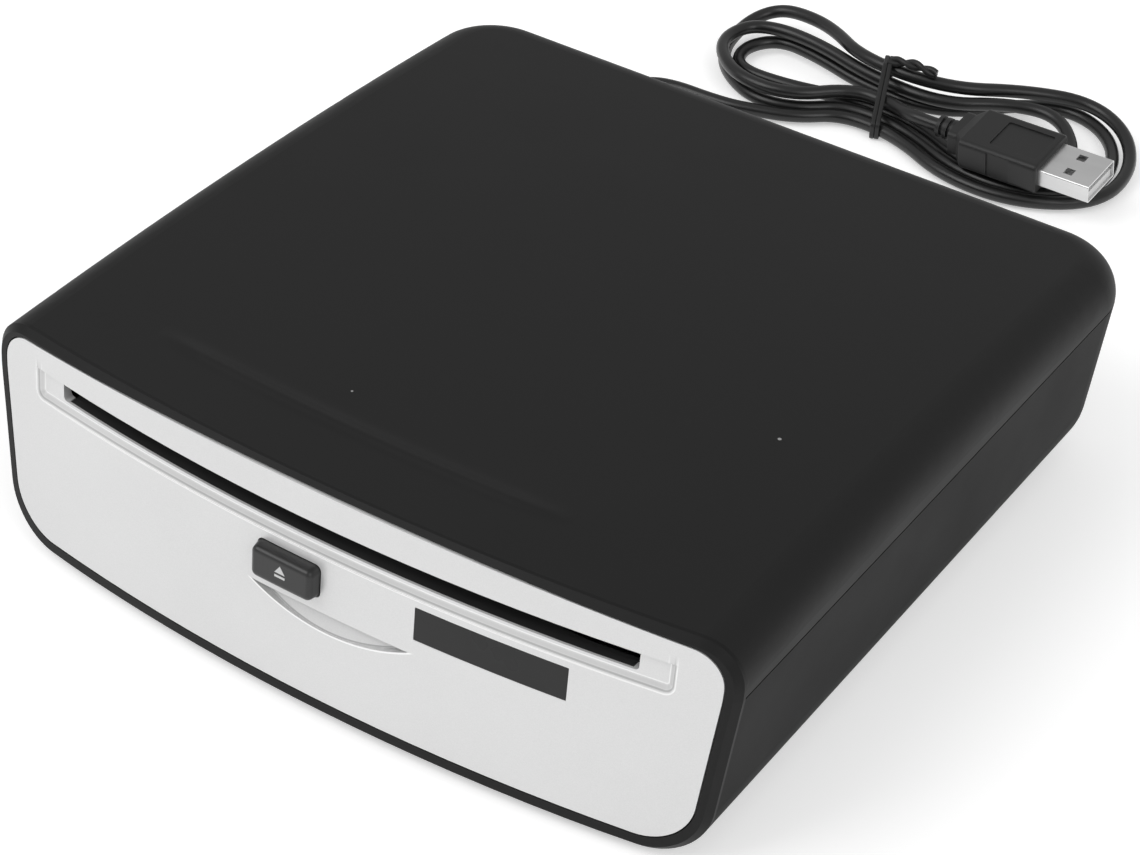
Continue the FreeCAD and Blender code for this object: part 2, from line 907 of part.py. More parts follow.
lip_box = box(-lip_half, lip_half, prism_front, lip_rear_y, lip_top - lip_thickness, lip_top)
slot_lip = lip_box.common(front_space(lip_front + lip_clearance))
flange_box = plain_rectangle(-lip_half, lip_half, recess_bottom - backing_below, slot_bottom - lip_drop)
slot_lip = slot_lip.fuse(front_plate(flange_box, backing_end, backing_end + lip_flange))
keep("slot_lip", slot_lip.removeSplitter())
window_plate = plain_rectangle(window_left, window_right, window_bottom, window_top, 0, window_corner)
keep("display_window", front_plate(window_plate, 0, window_thickness))

# Eject button, its switch and the board that carries them
button_y = front_surface(button_x, button_z)
face_y = button_y - button_proud
flange_first = panel_thickness + button_flange_gap
flange_last = flange_first + button_flange_thickness
wires = []
for y, grow in ((button_y - 2*button_proud, -2*button_draft), (button_y + 2*button_proud, 2*button_draft)):
    corners = plain_rectangle(button_left, button_right, button_bottom, button_top, grow, button_corner)
    wires.append(outline(corners, lambda a, b: V(a, y, b)))
button_block = Part.makeLoft(wires, True, True)
button = button_block.common(front_slab(-button_proud, flange_first))
body_rim = front_prism(plain_rectangle(button_left, button_right, button_bottom, button_top, 0,
                                       button_corner), prism_front, prism_back)
button = button.common(body_rim)
rim = []
for edge in button.Edges:
    middle = edge.valueAt((edge.FirstParameter + edge.LastParameter)/2)
    points = [middle] + [v.Point for v in edge.Vertexes]
    if all(abs(p.y + button_proud - front_surface(p.x, p.z)) < 0.05 for p in points):
        rim.append(edge)
button = button.makeFillet(button_round, rim)
flange = plain_rectangle(button_left, button_right, button_bottom, button_top, button_flange, button_corner)
button = button.fuse(front_plate(flange, flange_first, flange_last))
switch_front = front_board_y - switch_depth
plunger_front = switch_front - plunger_proud
stem = rod(button_stem_radius, plunger_front - button_y, V(button_x, button_y, button_z), Y_AXIS)
button = button.fuse(stem.common(front_space(flange_first)))
keep("eject_button", button.removeSplitter())
switch_half = switch_size/2
switch = box(button_x - switch_half, button_x + switch_half, switch_front, front_board_y,
             button_z - switch_half, button_z + switch_half)
plunger_start = V(button_x, plunger_front, button_z)
cavity = plunger_length + button_travel + running_gap
keep("tact_switch", switch.cut(rod(plunger_radius + running_gap, cavity, plunger_start, Y_AXIS)))
keep("switch_plunger", rod(plunger_radius, plunger_length, plunger_start, Y_AXIS))
display_front = front_board_y - display_depth
keep("display_module", box(window_left - display_margin, window_right + display_margin, display_front,
                           front_board_y,
                           window_bottom - display_margin, window_top))
front_board = box(front_board_left, front_board_right, front_board_y, front_board_y + board_thickness,
                  front_board_bottom, front_board_top)
for x, z in front_posts:
    front_board = front_board.cut(rod(small_screw_radius, 2*board_thickness, V(x, front_board_y - 0.1, z),
                                      Y_AXIS))
keep("front_board", front_board)

# Drive tray, cover and the soft mounts under them
print("drive frame")
motor_axis = V(0, motor_y, motor_z)
small_pitch = gear_module*idler_small_teeth/2
roller_pitch = gear_module*roller_teeth/2
big_pitch = gear_module*idler_big_teeth/2
pinion_pitch = gear_module*pinion_teeth/2
reach_roller = roller_pitch + small_pitch
reach_motor = big_pitch + pinion_pitch
span = math.hypot(motor_y - roller_y, motor_z - roller_z)
along = (span**2 + reach_roller**2 - reach_motor**2)/(2*span)
aside = math.sqrt(reach_roller**2 - along**2)
unit_y = (motor_y - roller_y)/span
unit_z = (motor_z - roller_z)/span
idler_y = roller_y + unit_y*along + unit_z*aside
idler_z = roller_z + unit_z*along - unit_y*aside
tray = box(-tray_half, tray_half, tray_front_y, tray_rear_y, tray_floor_z, tray_top_z)
inner = tray_half - tray_sheet
hollow = box(-inner, inner, tray_front_y - 1, tray_rear_y - tray_sheet, tray_floor_z + tray_sheet,
             tray_top_z + 1)
tray = tray.cut(hollow)
tabs = [(side, y) for side in (-1, 1) for y in (tab_front_y, tab_rear_y)]


def tab(side, y, z0, z1):
    x0 = side*(tray_half - tray_sheet)
    x1 = side*(tray_half + tab_reach)
    return box(min(x0, x1), max(x0, x1), y - tab_half, y + tab_half, z0, z1)


tab_screws = [(side*(tray_half + tab_reach/2), y) for side, y in tabs]
for side, y in tabs:
    tray = tray.fuse(tab(side, y, tray_top_z - tray_sheet, tray_top_z))
for x, y in tab_screws:
    tray = tray.cut(rod(small_screw_radius, 3*tray_sheet, V(x, y, tray_top_z - 2*tray_sheet)))
for side in (-1, 1):
    wall_x = min(side*inner, side*tray_half) - 1
    tray = tray.cut(rod(deck_pin_radius + running_gap, tray_sheet + 2,
                        V(wall_x, deck_hinge_y, deck_hinge_z), X_AXIS))
    tray = tray.cut(rod(bush_radius, tray_sheet + 2, V(wall_x, roller_y, roller_z), X_AXIS))
tray = tray.cut(rod(motor_boss_radius, tray_sheet + 2, V(inner - 1, motor_y, motor_z), X_AXIS))
tray = tray.cut(rod(idler_post_radius, tray_sheet + 2, V(inner - 1, idler_y, idler_z), X_AXIS))
for x, y in mounts:
    tray = tray.cut(rod(drive_screw_radius, 3*tray_sheet, V(x, y, tray_floor_z - tray_sheet)))
guide_y0 = cam_y - running_gap
guide_y1 = cam_y + cam_sheet + running_gap
cam_low = tray_floor_z + tray_sheet
for x in (-cam_guide_x, cam_guide_x):
    for y0, y1 in ((guide_y0 - cam_guide_sheet, guide_y0), (guide_y1, guide_y1 + cam_guide_sheet)):
        tray = tray.fuse(box(x - cam_guide_half, x + cam_guide_half, y0, y1, cam_low,
                             cam_low + cam_guide_height))
keep("drive_tray", tray.removeSplitter())

drive_cover = box(-tray_half, tray_half, tray_front_y, tray_rear_y, cover_z, cover_z + cover_sheet)
for side, y in tabs:
    drive_cover = drive_cover.fuse(tab(side, y, cover_z, cover_z + cover_sheet))
for x, y in tab_screws:
    drive_cover = drive_cover.cut(rod(small_screw_radius, 3*cover_sheet, V(x, y, cover_z - cover_sheet)))
drive_cover = drive_cover.cut(rod(cover_hole_radius, 3*cover_sheet, V(disc_x, disc_y, cover_z - cover_sheet)))
ear_inner = clamp_barrel_half + clamp_ear_gap
slot_reach = 2*clamp_barrel_radius
drive_cover = drive_cover.cut(box(-ear_inner, ear_inner, clamp_hinge_y - slot_reach,
                                  clamp_hinge_y + slot_reach, cover_z - 1, cover_z + 2))
for side in (-1, 1):
    x0 = side*ear_inner
    x1 = side*(ear_inner + clamp_ear)
    ear = box(min(x0, x1), max(x0, x1), clamp_hinge_y - clamp_ear_depth/2, clamp_hinge_y + clamp_ear_depth/2,
              cover_z, clamp_hinge_z + clamp_barrel_radius)
    drive_cover = drive_cover.fuse(ear)
drive_cover = drive_cover.cut(rod(clamp_pin_radius, 2*(ear_inner + clamp_ear) + 2,
                                  V(-ear_inner - clamp_ear - 1, clamp_hinge_y, clamp_hinge_z), X_AXIS))
keep("drive_cover", drive_cover.removeSplitter())


def screw(radius, length, head_radius, head_height, seat, down):
    head = rod(head_radius, head_height, seat, down*-1)
    shank = rod(radius, length, seat, down)
    return head.fuse(shank).removeSplitter()


def small_screw(seat, down):
    return screw(small_screw_radius, small_screw_length, small_head_radius, small_head_height, seat, down)


down_axis = V(0, 0, -1)
front_axis = V(0, -1, 0)
keep("cover_screws", group([small_screw(V(x, y, cover_z + cover_sheet), down_axis) for x, y in tab_screws]))
keep("drive_dampers",
     group([tube(damper_radius, drive_screw_radius, damper_height, V(x, y, mount_top)) for x, y in mounts]))
keep("drive_screws", group([screw(drive_screw_radius, drive_screw_length, drive_head_radius,
                                  drive_head_height,
                                  V(x, y, tray_floor_z + tray_sheet), down_axis) for x, y in mounts]))
board_screws = [small_screw(V(x, y, main_board_z + board_thickness), down_axis) for x, y in board_posts]
board_screws += [small_screw(V(x, front_board_y + board_thickness, z), front_axis) for x, z in front_posts]
keep("board_screws", group(board_screws))

# Load roller: waisted rubber on a steel shaft
print("load roller")
profile = [V(-roller_half, roller_y, roller_z + shaft_radius),
           V(-roller_half, roller_y, roller_z + roller_radius)]
arc = Part.Arc(profile[1], V(0, roller_y, roller_z + roller_waist),
               V(roller_half, roller_y, roller_z + roller_radius))
edges = [Part.makeLine(profile[0], profile[1]), arc.toShape(),
         Part.makeLine(V(roller_half, roller_y, roller_z + roller_radius),
                       V(roller_half, roller_y, roller_z + shaft_radius)),
         Part.makeLine(V(roller_half, roller_y, roller_z + shaft_radius), profile[0])]
keep("load_roller", Part.Face(Part.Wire(edges)).revolve(V(0, roller_y, roller_z), X_AXIS, 360))
keep("roller_shaft", rod(shaft_radius, shaft_right - shaft_left, V(shaft_left, roller_y, roller_z), X_AXIS))
bushes = []
for side in (-1, 1):
    x_wall = min(side*inner, side*tray_half)
    x_flange = inner - bush_flange if side > 0 else -inner
    bush = rod(bush_radius, tray_sheet, V(x_wall, roller_y, roller_z), X_AXIS)
    bush = bush.fuse(rod(bush_flange_radius, bush_flange, V(x_flange, roller_y, roller_z), X_AXIS))
    bushes.append(bush.cut(rod(shaft_radius + running_gap, 4, V(x_wall - 2, roller_y, roller_z),
                               X_AXIS)).removeSplitter())
keep("roller_bushes", group(bushes))


def gear(teeth, y, z, x0, face, tooth_at):
    pitch = gear_module*teeth/2
    slope = math.tan(math.radians(20.0))
    thick = math.pi*gear_module/2*tooth_share
    corners = []
    for k in range(teeth):
        middle = tooth_at + 2*math.pi*k/teeth
        for rise, sign in ((-1.1, -1), (0.85, -1), (0.85, 1), (-1.1, 1)):
            radius = pitch + rise*gear_module
            half = (thick/2 - rise*gear_module*slope)/radius
            corners.append(V(x0, y + radius*math.cos(middle + sign*half),
                             z + radius*math.sin(middle + sign*half)))
    corners.append(corners[0])
    return Part.Face(Part.makePolygon(corners)).extrude(V(face, 0, 0))


to_idler = math.atan2(idler_z - roller_z, idler_y - roller_y)
to_motor = math.atan2(motor_z - idler_z, motor_y - idler_y)
roller_gear = gear(roller_teeth, roller_y, roller_z, inner_gear_x, inner_gear_face, to_idler)
keep("roller_gear", roller_gear.cut(rod(shaft_radius, 9, V(inner_gear_x - 2, roller_y, roller_z), X_AXIS)))
idler_length = outer_gear_x - inner_gear_x
idler = gear(idler_small_teeth, idler_y, idler_z, inner_gear_x, idler_length,
             to_idler + math.pi + math.pi/idler_small_teeth)
idler = idler.fuse(gear(idler_big_teeth, idler_y, idler_z, outer_gear_x, outer_gear_face, to_motor))
idler = idler.cut(rod(idler_post_radius + running_gap, 12, V(inner_gear_x - 1, idler_y, idler_z), X_AXIS))
keep("idler_gear", idler.removeSplitter())
post_end = outer_gear_x + outer_gear_face + idler_post_spare
idler_post = rod(idler_post_radius, post_end - inner, V(inner, idler_y, idler_z), X_AXIS)
idler_post = idler_post.fuse(rod(idler_collar_radius, idler_collar, V(tray_half, idler_y, idler_z), X_AXIS))
keep("idler_post", idler_post.removeSplitter())
pinion = gear(pinion_teeth, motor_y, motor_z, outer_gear_x, outer_gear_face,
              to_motor + math.pi + math.pi/pinion_teeth)
pinion_start = inner - motor_shaft_depth
pinion = pinion.fuse(rod(motor_shaft_radius, outer_gear_x - pinion_start, V(pinion_start, motor_y, motor_z),
                         X_AXIS))
keep("motor_pinion", pinion.removeSplitter())
motor = rod(motor_radius, motor_length, V(inner - motor_length, motor_y, motor_z), X_AXIS)
motor = motor.fuse(rod(motor_boss_radius, tray_sheet, V(inner, motor_y, motor_z), X_AXIS))
bore_start = V(pinion_start - 0.2, motor_y, motor_z)
keep("load_motor", motor.cut(rod(motor_shaft_radius + running_gap, motor_length, bore_start,
                                 X_AXIS)).removeSplitter())

# Traverse deck, drawn level as in play and then lowered about its rear hinge for the rest pose
print("traverse deck")
deck_hinge = V(0, deck_hinge_y, deck_hinge_z)
deck_top = deck_z + deck_sheet


def lowered(shape):
    return turned(shape, deck_hinge, X_AXIS, deck_drop)


deck = box(-deck_half, deck_half, deck_front_y, deck_rear_y, deck_z, deck_top)
flange_z = deck_top - deck_flange_drop - deck_sheet
deck = deck.fuse(box(-deck_half, deck_half, deck_front_y, deck_front_y + deck_sheet, flange_z, deck_top))
for side in (-1, 1):
    x0 = side*deck_half
    x1 = side*(deck_half - deck_ear)
    corners = [(deck_rear_y - deck_ear_length, deck_top, 0),
               (deck_hinge_y - deck_ear_radius, deck_hinge_z - deck_ear_radius, 0),
               (deck_hinge_y + deck_ear_radius, deck_hinge_z - deck_ear_radius, deck_ear_radius*0.9),
               (deck_hinge_y + deck_ear_radius, deck_hinge_z + deck_ear_radius, deck_ear_radius*0.9),
               (deck_rear_y, deck_top, 0)]
    deck = deck.fuse(side_prism(corners, min(x0, x1), max(x0, x1)))
    deck = deck.cut(rod(deck_pin_radius, deck_ear + 2, V(min(x0, x1) - 1, deck_hinge_y, deck_hinge_z),
                        X_AXIS))
deck = deck.cut(rod(spindle_boss_radius, 3*deck_sheet, V(disc_x, disc_y, deck_z - deck_sheet)))
sight = box(lens_rest_x - tower_before - window_margin,
            lens_rest_x + sled_travel + tower_after + window_margin,
            disc_y - tower_half - window_margin, disc_y + tower_half + window_margin, deck_z - 1,
            deck_top + 1)
deck = deck.cut(sight)
sled_motor_x = rod_left - sled_motor_length
deck = deck.cut(box(sled_motor_x - 1, rod_left + 1, screw_y - sled_motor_radius - 0.6,
                    screw_y + sled_motor_radius + 0.6, deck_z - 1, deck_top + 1))
deck = deck.cut(rod(9.0, 3*deck_sheet, V(-38.0, 30.0, deck_z - deck_sheet)))
deck = deck.cut(rod(7.0, 3*deck_sheet, V(-38.0, -2.0, deck_z - deck_sheet)))
rod_ys = (disc_y - rod_spread, disc_y + rod_spread)
bracket_low = rod_z - rod_radius - bracket_margin
for x in (rod_left, rod_right - bracket_thickness):
    bracket = box(x, x + bracket_thickness, screw_y - bracket_margin, rod_ys[1] + bracket_margin,
                  bracket_low, deck_z)
    if x == rod_left:
        bracket = bracket.cut(rod(spindle_motor_radius + 0.4, deck_z, V(disc_x, disc_y, 0)))
    for y in rod_ys:
        bracket = bracket.cut(rod(rod_radius, 5, V(x - 1, y, rod_z), X_AXIS))
    bracket = bracket.cut(rod(screw_radius + running_gap, 5, V(x - 1, screw_y, rod_z), X_AXIS))
    deck = deck.fuse(bracket)
cam_pins = []
for x in (-cam_pin_x, cam_pin_x):
    deck = deck.cut(rod(deck_pin_radius, deck_sheet + 2, V(x, deck_front_y - 1, cam_pin_z), Y_AXIS))
    cam_pins.append(rod(deck_pin_radius, cam_pin_length + deck_sheet,
                        V(x, deck_front_y - cam_pin_length, cam_pin_z), Y_AXIS))
keep("traverse_deck", lowered(deck.removeSplitter()))
for side in (-1, 1):
    x0 = side*(deck_half - deck_ear)
    x1 = side*(tray_half + 0.6)
    cam_pins.append(rod(deck_pin_radius, abs(x1 - x0), V(min(x0, x1), deck_hinge_y, deck_hinge_z), X_AXIS))
keep("deck_pins", lowered(group(cam_pins)))
spindle = rod(spindle_motor_radius, spindle_motor_height, V(disc_x, disc_y, deck_z - spindle_motor_height))
spindle = spindle.fuse(rod(spindle_boss_radius, deck_sheet, V(disc_x, disc_y, deck_z)))
shaft_low = deck_z - spindle_motor_height/2
spindle = spindle.cut(rod(spindle_shaft_radius + running_gap, 20, V(disc_x, disc_y, shaft_low - 0.2)))
keep("spindle_motor", lowered(spindle.removeSplitter()))
table = rod(turntable_radius, turntable_plate, V(disc_x, disc_y, turntable_z))
table = table.fuse(rod(spindle_shaft_radius, turntable_z - shaft_low, V(disc_x, disc_y, shaft_low)))
table = table.fuse(rod(hub_radius, hub_shoulder + pad_height,
                       V(disc_x, disc_y, turntable_z + turntable_plate)))
nose_z = turntable_z + turntable_plate + hub_shoulder + pad_height
nose_height = turntable_z + hub_height - nose_z
table = table.fuse(Part.makeCone(hub_radius, hub_nose_radius, nose_height, V(disc_x, disc_y, nose_z)))
keep("turntable", lowered(table.removeSplitter()))
keep("turntable_pad",
     lowered(tube(turntable_radius, pad_inner_radius, pad_height,
                  V(disc_x, disc_y, turntable_z + turntable_plate))))
keep("guide_rods", lowered(group([rod(rod_radius, rod_right - rod_left, V(rod_left, y, rod_z), X_AXIS)
                                  for y in rod_ys])))
sled_left = lens_rest_x - sled_before
sled_right = lens_rest_x + sled_after
sled = box(sled_left, sled_right, screw_y - nut_half, rod_ys[1] + nut_half, sled_bottom, sled_top)
sled = sled.fuse(box(lens_rest_x - tower_before, lens_rest_x + tower_after, disc_y - tower_half,
                     disc_y + tower_half, sled_top - 1, tower_top))
for y in rod_ys:
    sled = sled.cut(rod(rod_radius + running_gap, 20, V(sled_left - 1, y, rod_z), X_AXIS))
sled = sled.cut(rod(screw_radius + 2*running_gap, 20, V(sled_left - 1, screw_y, rod_z), X_AXIS))
keep("pickup_sled", lowered(sled.removeSplitter()))
keep("objective_lens", lowered(rod(lens_radius, lens_height, V(lens_rest_x, disc_y, tower_top))))
screw_start = rod_left - motor_shaft_depth
screw_end = rod_right - 0.2
lead = rod(screw_radius, screw_end - screw_start, V(screw_start, screw_y, rod_z), X_AXIS)
groove_count = int((rod_right - rod_left - 3*bracket_thickness)/screw_pitch)
for k in range(groove_count):
    x = rod_left + 1.5*bracket_thickness + k*screw_pitch
    lead = lead.cut(tube(screw_radius + 1, screw_radius - screw_groove, screw_pitch/3, V(x, screw_y, rod_z),
                         X_AXIS))
keep("lead_screw", lowered(lead))
sled_motor = rod(sled_motor_radius, sled_motor_length, V(sled_motor_x, screw_y, rod_z), X_AXIS)
sled_motor = sled_motor.cut(rod(screw_radius + running_gap, 20, V(screw_start - 0.2, screw_y, rod_z), X_AXIS))
keep("sled_motor", lowered(sled_motor))

# Cam slider: slanted slots carry the deck's front pins up as it slides to the right
print("cam slider")
drop = math.radians(deck_drop)
pin_back = deck_front_y - cam_pin_length/2 - deck_hinge_y
cam_low_z = deck_hinge_z + pin_back*math.sin(drop) + (cam_pin_z - deck_hinge_z)*math.cos(drop)
cam_high_z = cam_pin_z
cam = box(-cam_half, cam_half, cam_y, cam_y + cam_sheet, cam_low + cam_floor_gap, cam_top_z)
slot_radius = deck_pin_radius + cam_slot_gap
for x in (-cam_pin_x, cam_pin_x):
    start = V(x, cam_y - 1, cam_low_z)
    finish = V(x - cam_travel, cam_y - 1, cam_high_z)
    run = (finish - start).normalize()
    side = V(-run.z, 0, run.x)*slot_radius
    corners = [start + side, finish + side, finish - side, start - side, start + side]
    track = Part.Face(Part.makePolygon(corners)).extrude(V(0, cam_sheet + 2, 0))
    cam = cam.cut(track)
    for point in (start, finish):
        cam = cam.cut(rod(slot_radius, cam_sheet + 2, point, Y_AXIS))
keep("cam_slider", cam)

# Clamp arm, drawn down as in play and then lifted about its hinge for the rest pose
clamp_hinge = V(0, clamp_hinge_y, clamp_hinge_z)


def lifted(shape):
    return turned(shape, clamp_hinge, X_AXIS, -clamp_lift)


arm_low = clamp_hinge_z - clamp_sheet/2
arm_high = clamp_hinge_z + clamp_sheet/2
arm = rod(clamp_ring_radius, clamp_sheet, V(disc_x, disc_y, arm_low))
arm = arm.fuse(box(-clamp_bar_half, clamp_bar_half, disc_y, clamp_hinge_y, arm_low, arm_high))
arm = arm.fuse(rod(clamp_barrel_radius, 2*clamp_barrel_half,
                   V(-clamp_barrel_half, clamp_hinge_y, clamp_hinge_z), X_AXIS))
arm = arm.cut(rod(puck_neck_radius + 2*running_gap, 5, V(disc_x, disc_y, arm_low - 2)))
arm = arm.cut(rod(clamp_pin_radius + running_gap, 2*clamp_barrel_half + 2,
                  V(-clamp_barrel_half - 1, clamp_hinge_y, clamp_hinge_z), X_AXIS))
keep("clamp_arm", lifted(arm.removeSplitter()))
pin_half = clamp_barrel_half + clamp_ear_gap + clamp_ear
keep("clamp_pin", rod(clamp_pin_radius, 2*pin_half, V(-pin_half, clamp_hinge_y, clamp_hinge_z), X_AXIS))
puck_z = turntable_z + turntable_plate + pad_height + disc_thickness + puck_gap
puck = rod(puck_radius, puck_height, V(disc_x, disc_y, puck_z))
flange_low = arm_high + running_gap
puck = puck.fuse(rod(puck_neck_radius, flange_low - puck_z, V(disc_x, disc_y, puck_z)))
puck = puck.fuse(rod(puck_flange_radius, puck_flange, V(disc_x, disc_y, flange_low)))
bowl_top = turntable_z + hub_height + puck_bowl_clearance
bowl = rod(hub_radius + puck_bowl_clearance, bowl_top - puck_z + puck_gap,
           V(disc_x, disc_y, puck_z - puck_gap))
keep("clamp_puck", lifted(puck.cut(bowl).removeSplitter()))

# Main board and what stands on it
print("boards")
board = box(-main_board_half, main_board_half, main_board_front, main_board_rear, main_board_z,
            main_board_z + board_thickness)
for x, y in board_posts:
    board = board.cut(rod(small_screw_radius, 4, V(x, y, main_board_z - 1)))
keep("main_board", board)
on_board = main_board_z + board_thickness


def chip(x, y, length, width, height):
    return box(x - length/2, x + length/2, y - width/2, y + width/2, on_board, on_board + height)


chips = [chip(-8.0, 4.0, big_chip, big_chip, chip_height),
         chip(18.0, 12.0, small_chip*1.6, small_chip, chip_height),
         chip(-28.0, -10.0, small_chip, small_chip, chip_height),
         chip(10.0, 38.0, small_chip, small_chip*1.4, chip_height)]
for k in range(4):
    chips.append(rod(capacitor_radius, capacitor_height, V(-30.0 + 9.0*k, 30.0, on_board)))
keep("board_chips", group(chips))
header_rear = main_board_rear - 1.0
header = box(header_x - header_width/2, header_x + header_width/2, header_rear - header_depth, header_rear,
             on_board, on_board + header_height)
keep("usb_header", header)
socket_y = main_board_front + 1.0
ribbon_z = on_board + ribbon_socket_height/2
front_socket_z = front_board_bottom + 2.0
sockets = [box(ribbon_x - ribbon_width/2 - 1, ribbon_x + ribbon_width/2 + 1, socket_y,
               socket_y + ribbon_socket_depth,
               on_board, on_board + ribbon_socket_height)]
front_back = front_board_y + board_thickness
sockets.append(box(ribbon_x - ribbon_width/2 - 1, ribbon_x + ribbon_width/2 + 1, front_back,
                   front_back + ribbon_socket_height,
                   front_socket_z, front_socket_z + ribbon_socket_depth))
keep("ribbon_sockets", group(sockets))
ribbon_y = front_back + ribbon_socket_height/2
half = ribbon_thickness/2
bend = 2.0
corners = [(ribbon_y - half, front_socket_z, 0), (ribbon_y - half, ribbon_z - half, bend + ribbon_thickness),
           (socket_y, ribbon_z - half, 0), (socket_y, ribbon_z + half, 0),
           (ribbon_y + half, ribbon_z + half, bend), (ribbon_y + half, front_socket_z, 0)]
keep("flat_cable", side_prism(corners, ribbon_x - ribbon_width/2, ribbon_x + ribbon_width/2))


# Round cords: straight runs joined by tangent arcs
def arc_edge(start, direction, end):
    chord = end - start
    inward = chord - direction*chord.dot(direction)
    if inward.Length < 1e-7:
        return Part.makeLine(start, end), None
    inward.normalize()
    radius = chord.dot(chord)/(2*chord.dot(inward))
    angle = 2*math.atan2(chord.dot(inward), chord.dot(direction))
    centre = start + inward*radius
    middle = centre - inward*(radius*math.cos(angle/2)) + direction*(radius*math.sin(angle/2))
    return Part.Arc(start, middle, end).toShape(), radius


def swept(edges, radius, start, direction):
    ring = Part.Wire(Part.makeCircle(radius, start, direction))
    return Part.Wire(edges).makePipeShell([ring], True, False)


def cord(name, points, diameter):
    edges = []
    at = points[0]
    radii = []
    for k in range(1, len(points) - 1):
        into = points[k] - points[k - 1]
        out = points[k + 1] - points[k]
        shorter = min(into.Length, out.Length)
        into.normalize()
        out.normalize()
        turn = math.acos(max(-1.0, min(1.0, into.dot(out))))
        reach = 0.45*shorter
        start = points[k] - into*reach
        end = points[k] + out*reach
        edges.append(Part.makeLine(at, start))
        edges.append(arc_edge(start, into, end)[0])
        radii.append(round(reach/math.tan(turn/2), 1))
        at = end
    edges.append(Part.makeLine(at, points[-1]))
    shape = swept(edges, diameter/2, points[0], points[1] - points[0])
    length = sum(edge.Length for edge in edges)
    share = shape.Volume/(length*math.pi*(diameter/2)**2)
    print(name, "length", round(length, 1), "radii", radii, "least", min(radii), "volume share",
          round(share, 3),
          "lowest", round(shape.BoundBox.ZMin, 2))
    return shape


header_mid_z = on_board + header_height/2
inner_start_y = relief_wall_y - wall - relief_flange - 0.6
inner_points = [V(relief_x, inner_start_y, relief_z), V(relief_x, 71.0, relief_z), V(-56.5, 70.2, 10.2),
                V(header_x, 66.9, header_mid_z), V(header_x, header_rear, header_mid_z)]
keep("inner_cable", cord("inner_cable", inner_points, inner_cable_diameter))

# Wound hank: three loops drawn in at the waist. The near runs and the first two right ends step inward
# evenly; on the far side the loops pile up, the first on top, the second lowest, the third between them.
print("hank")


def stations_to_arcs(stations):
    result = []
    for (p0, t0), (p1, t1) in zip(stations, stations[1:]):
        v = p1 - p0
        t = t0 + t1
        slope = 2*(1 - t0.dot(t1))
        if slope < 1e-9:
            d = v.dot(v)/(4*v.dot(t1))
        else:
            d = (-v.dot(t) + math.sqrt(v.dot(t)**2 + slope*v.dot(v)))/slope
        joint = (p0 + p1 + (t0 - t1)*d)*0.5
        chord = joint - p0
        turn_out = chord*(2*chord.dot(t0)/chord.dot(chord)) - t0
        result.append((p0, t0, joint, turn_out))
        result.append((joint, turn_out, p1, t1))
    return result


def stepped_in(arcs, step):
    result = []
    for start, t0, end, t1 in arcs:
        result.append((start + V(-t0.y, t0.x, 0)*step, t0, end + V(-t1.y, t1.x, 0)*step, t1))
    return result


def flat(x, y, z=0.0):
    return V(hank_x + x, hank_y + y, z)


def heading(degrees, rise=0.0):
    turn = math.radians(degrees)
    lift = math.radians(rise)
    return V(math.cos(turn)*math.cos(lift), math.sin(turn)*math.cos(lift), math.sin(lift))


def station(place, lift, degrees):
    return (flat(place[0], place[1], hank_low + lift), heading(degrees))


def at_waist(across, lift, degrees):
    run = heading(waist_turn)
    return (V(hank_x - run.y*across, hank_y + run.x*across, hank_low + lift), heading(waist_turn + degrees))


def going_on(arcs):
    return (arcs[-1][2], arcs[-1][3])


layer = hank_rise
top_layer = 2*hank_rise + waist_top_lift
first_near = at_waist(waist_near, 0, 0)
third_near = at_waist(waist_near + 2*hank_step, 0, 0)
tail_near = at_waist(waist_near + 1.5*hank_step, layer, 0)
lead_side = stations_to_arcs([station(lead_in, 0, 0), station(lead_bend, 0, lead_bend_turn), first_near])
right_side = stations_to_arcs([first_near, station(right_near, 0, 0), station(right_end, 0, 90)])
arcs = lead_side + right_side
arcs += stations_to_arcs([going_on(arcs), station(right_far, right_far_lift, right_far_turn),
                          at_waist(waist_far, top_layer, 180)])
far_loop_return = stepped_in(lead_side[2:], hank_step)
arcs += stations_to_arcs([going_on(arcs), station(far_loop_back, far_loop_lift, far_loop_turn),
                          station(far_loop_end, 0, far_loop_end_turn), far_loop_return[0][:2]])
arcs += far_loop_return + stepped_in(right_side, hank_step)
arcs += stations_to_arcs([going_on(arcs), station(second_far, 0, right_far_turn),
                          at_waist(waist_far, 0, 180)])
arcs += stations_to_arcs([going_on(arcs), station(inner_loop_back, 0, inner_loop_turn),
                          station(inner_loop_end, 0, -90),
                          station(inner_loop_near, 0, inner_loop_near_turn), third_near])
arcs += stepped_in(right_side[:2], 2*hank_step)
arcs += stations_to_arcs([going_on(arcs), station(third_end, third_end_lift, 90),
                          station(third_far, layer, 180),
                          at_waist(waist_far, layer, 180)])
arcs += stations_to_arcs([going_on(arcs), station(upper_loop_back, layer, upper_loop_turn),
                          station(upper_loop_end, layer, -90),
                          station(upper_loop_near, layer, upper_loop_near_turn), tail_near])
plug_axis = heading(plug_turn, plug_rise)
plug_tip = V(plug_x, plug_y, plug_z)
tail = plug_tip - plug_axis*hank_end_straight
arcs += stations_to_arcs([going_on(arcs), (tail, plug_axis)])
hank_start = arcs[0][0] - X_AXIS*hank_end_straight
hank_end = plug_tip
edges = [Part.makeLine(hank_start, arcs[0][0])]
radii = []
for start, t0, end, t1 in arcs:
    edge, radius = arc_edge(start, t0, end)
    edges.append(edge)
    if radius:
        radii.append(radius)
edges.append(Part.makeLine(tail, hank_end))
hank = swept(edges, cord_radius, hank_start, X_AXIS)
hank_length = sum(edge.Length for edge in edges)
keep("usb_hank", hank)
samples = []
travel = 0.0
for edge in edges:
    count = max(2, int(edge.Length/0.8))
    for point in edge.discretize(count)[:-1]:
        samples.append(point)
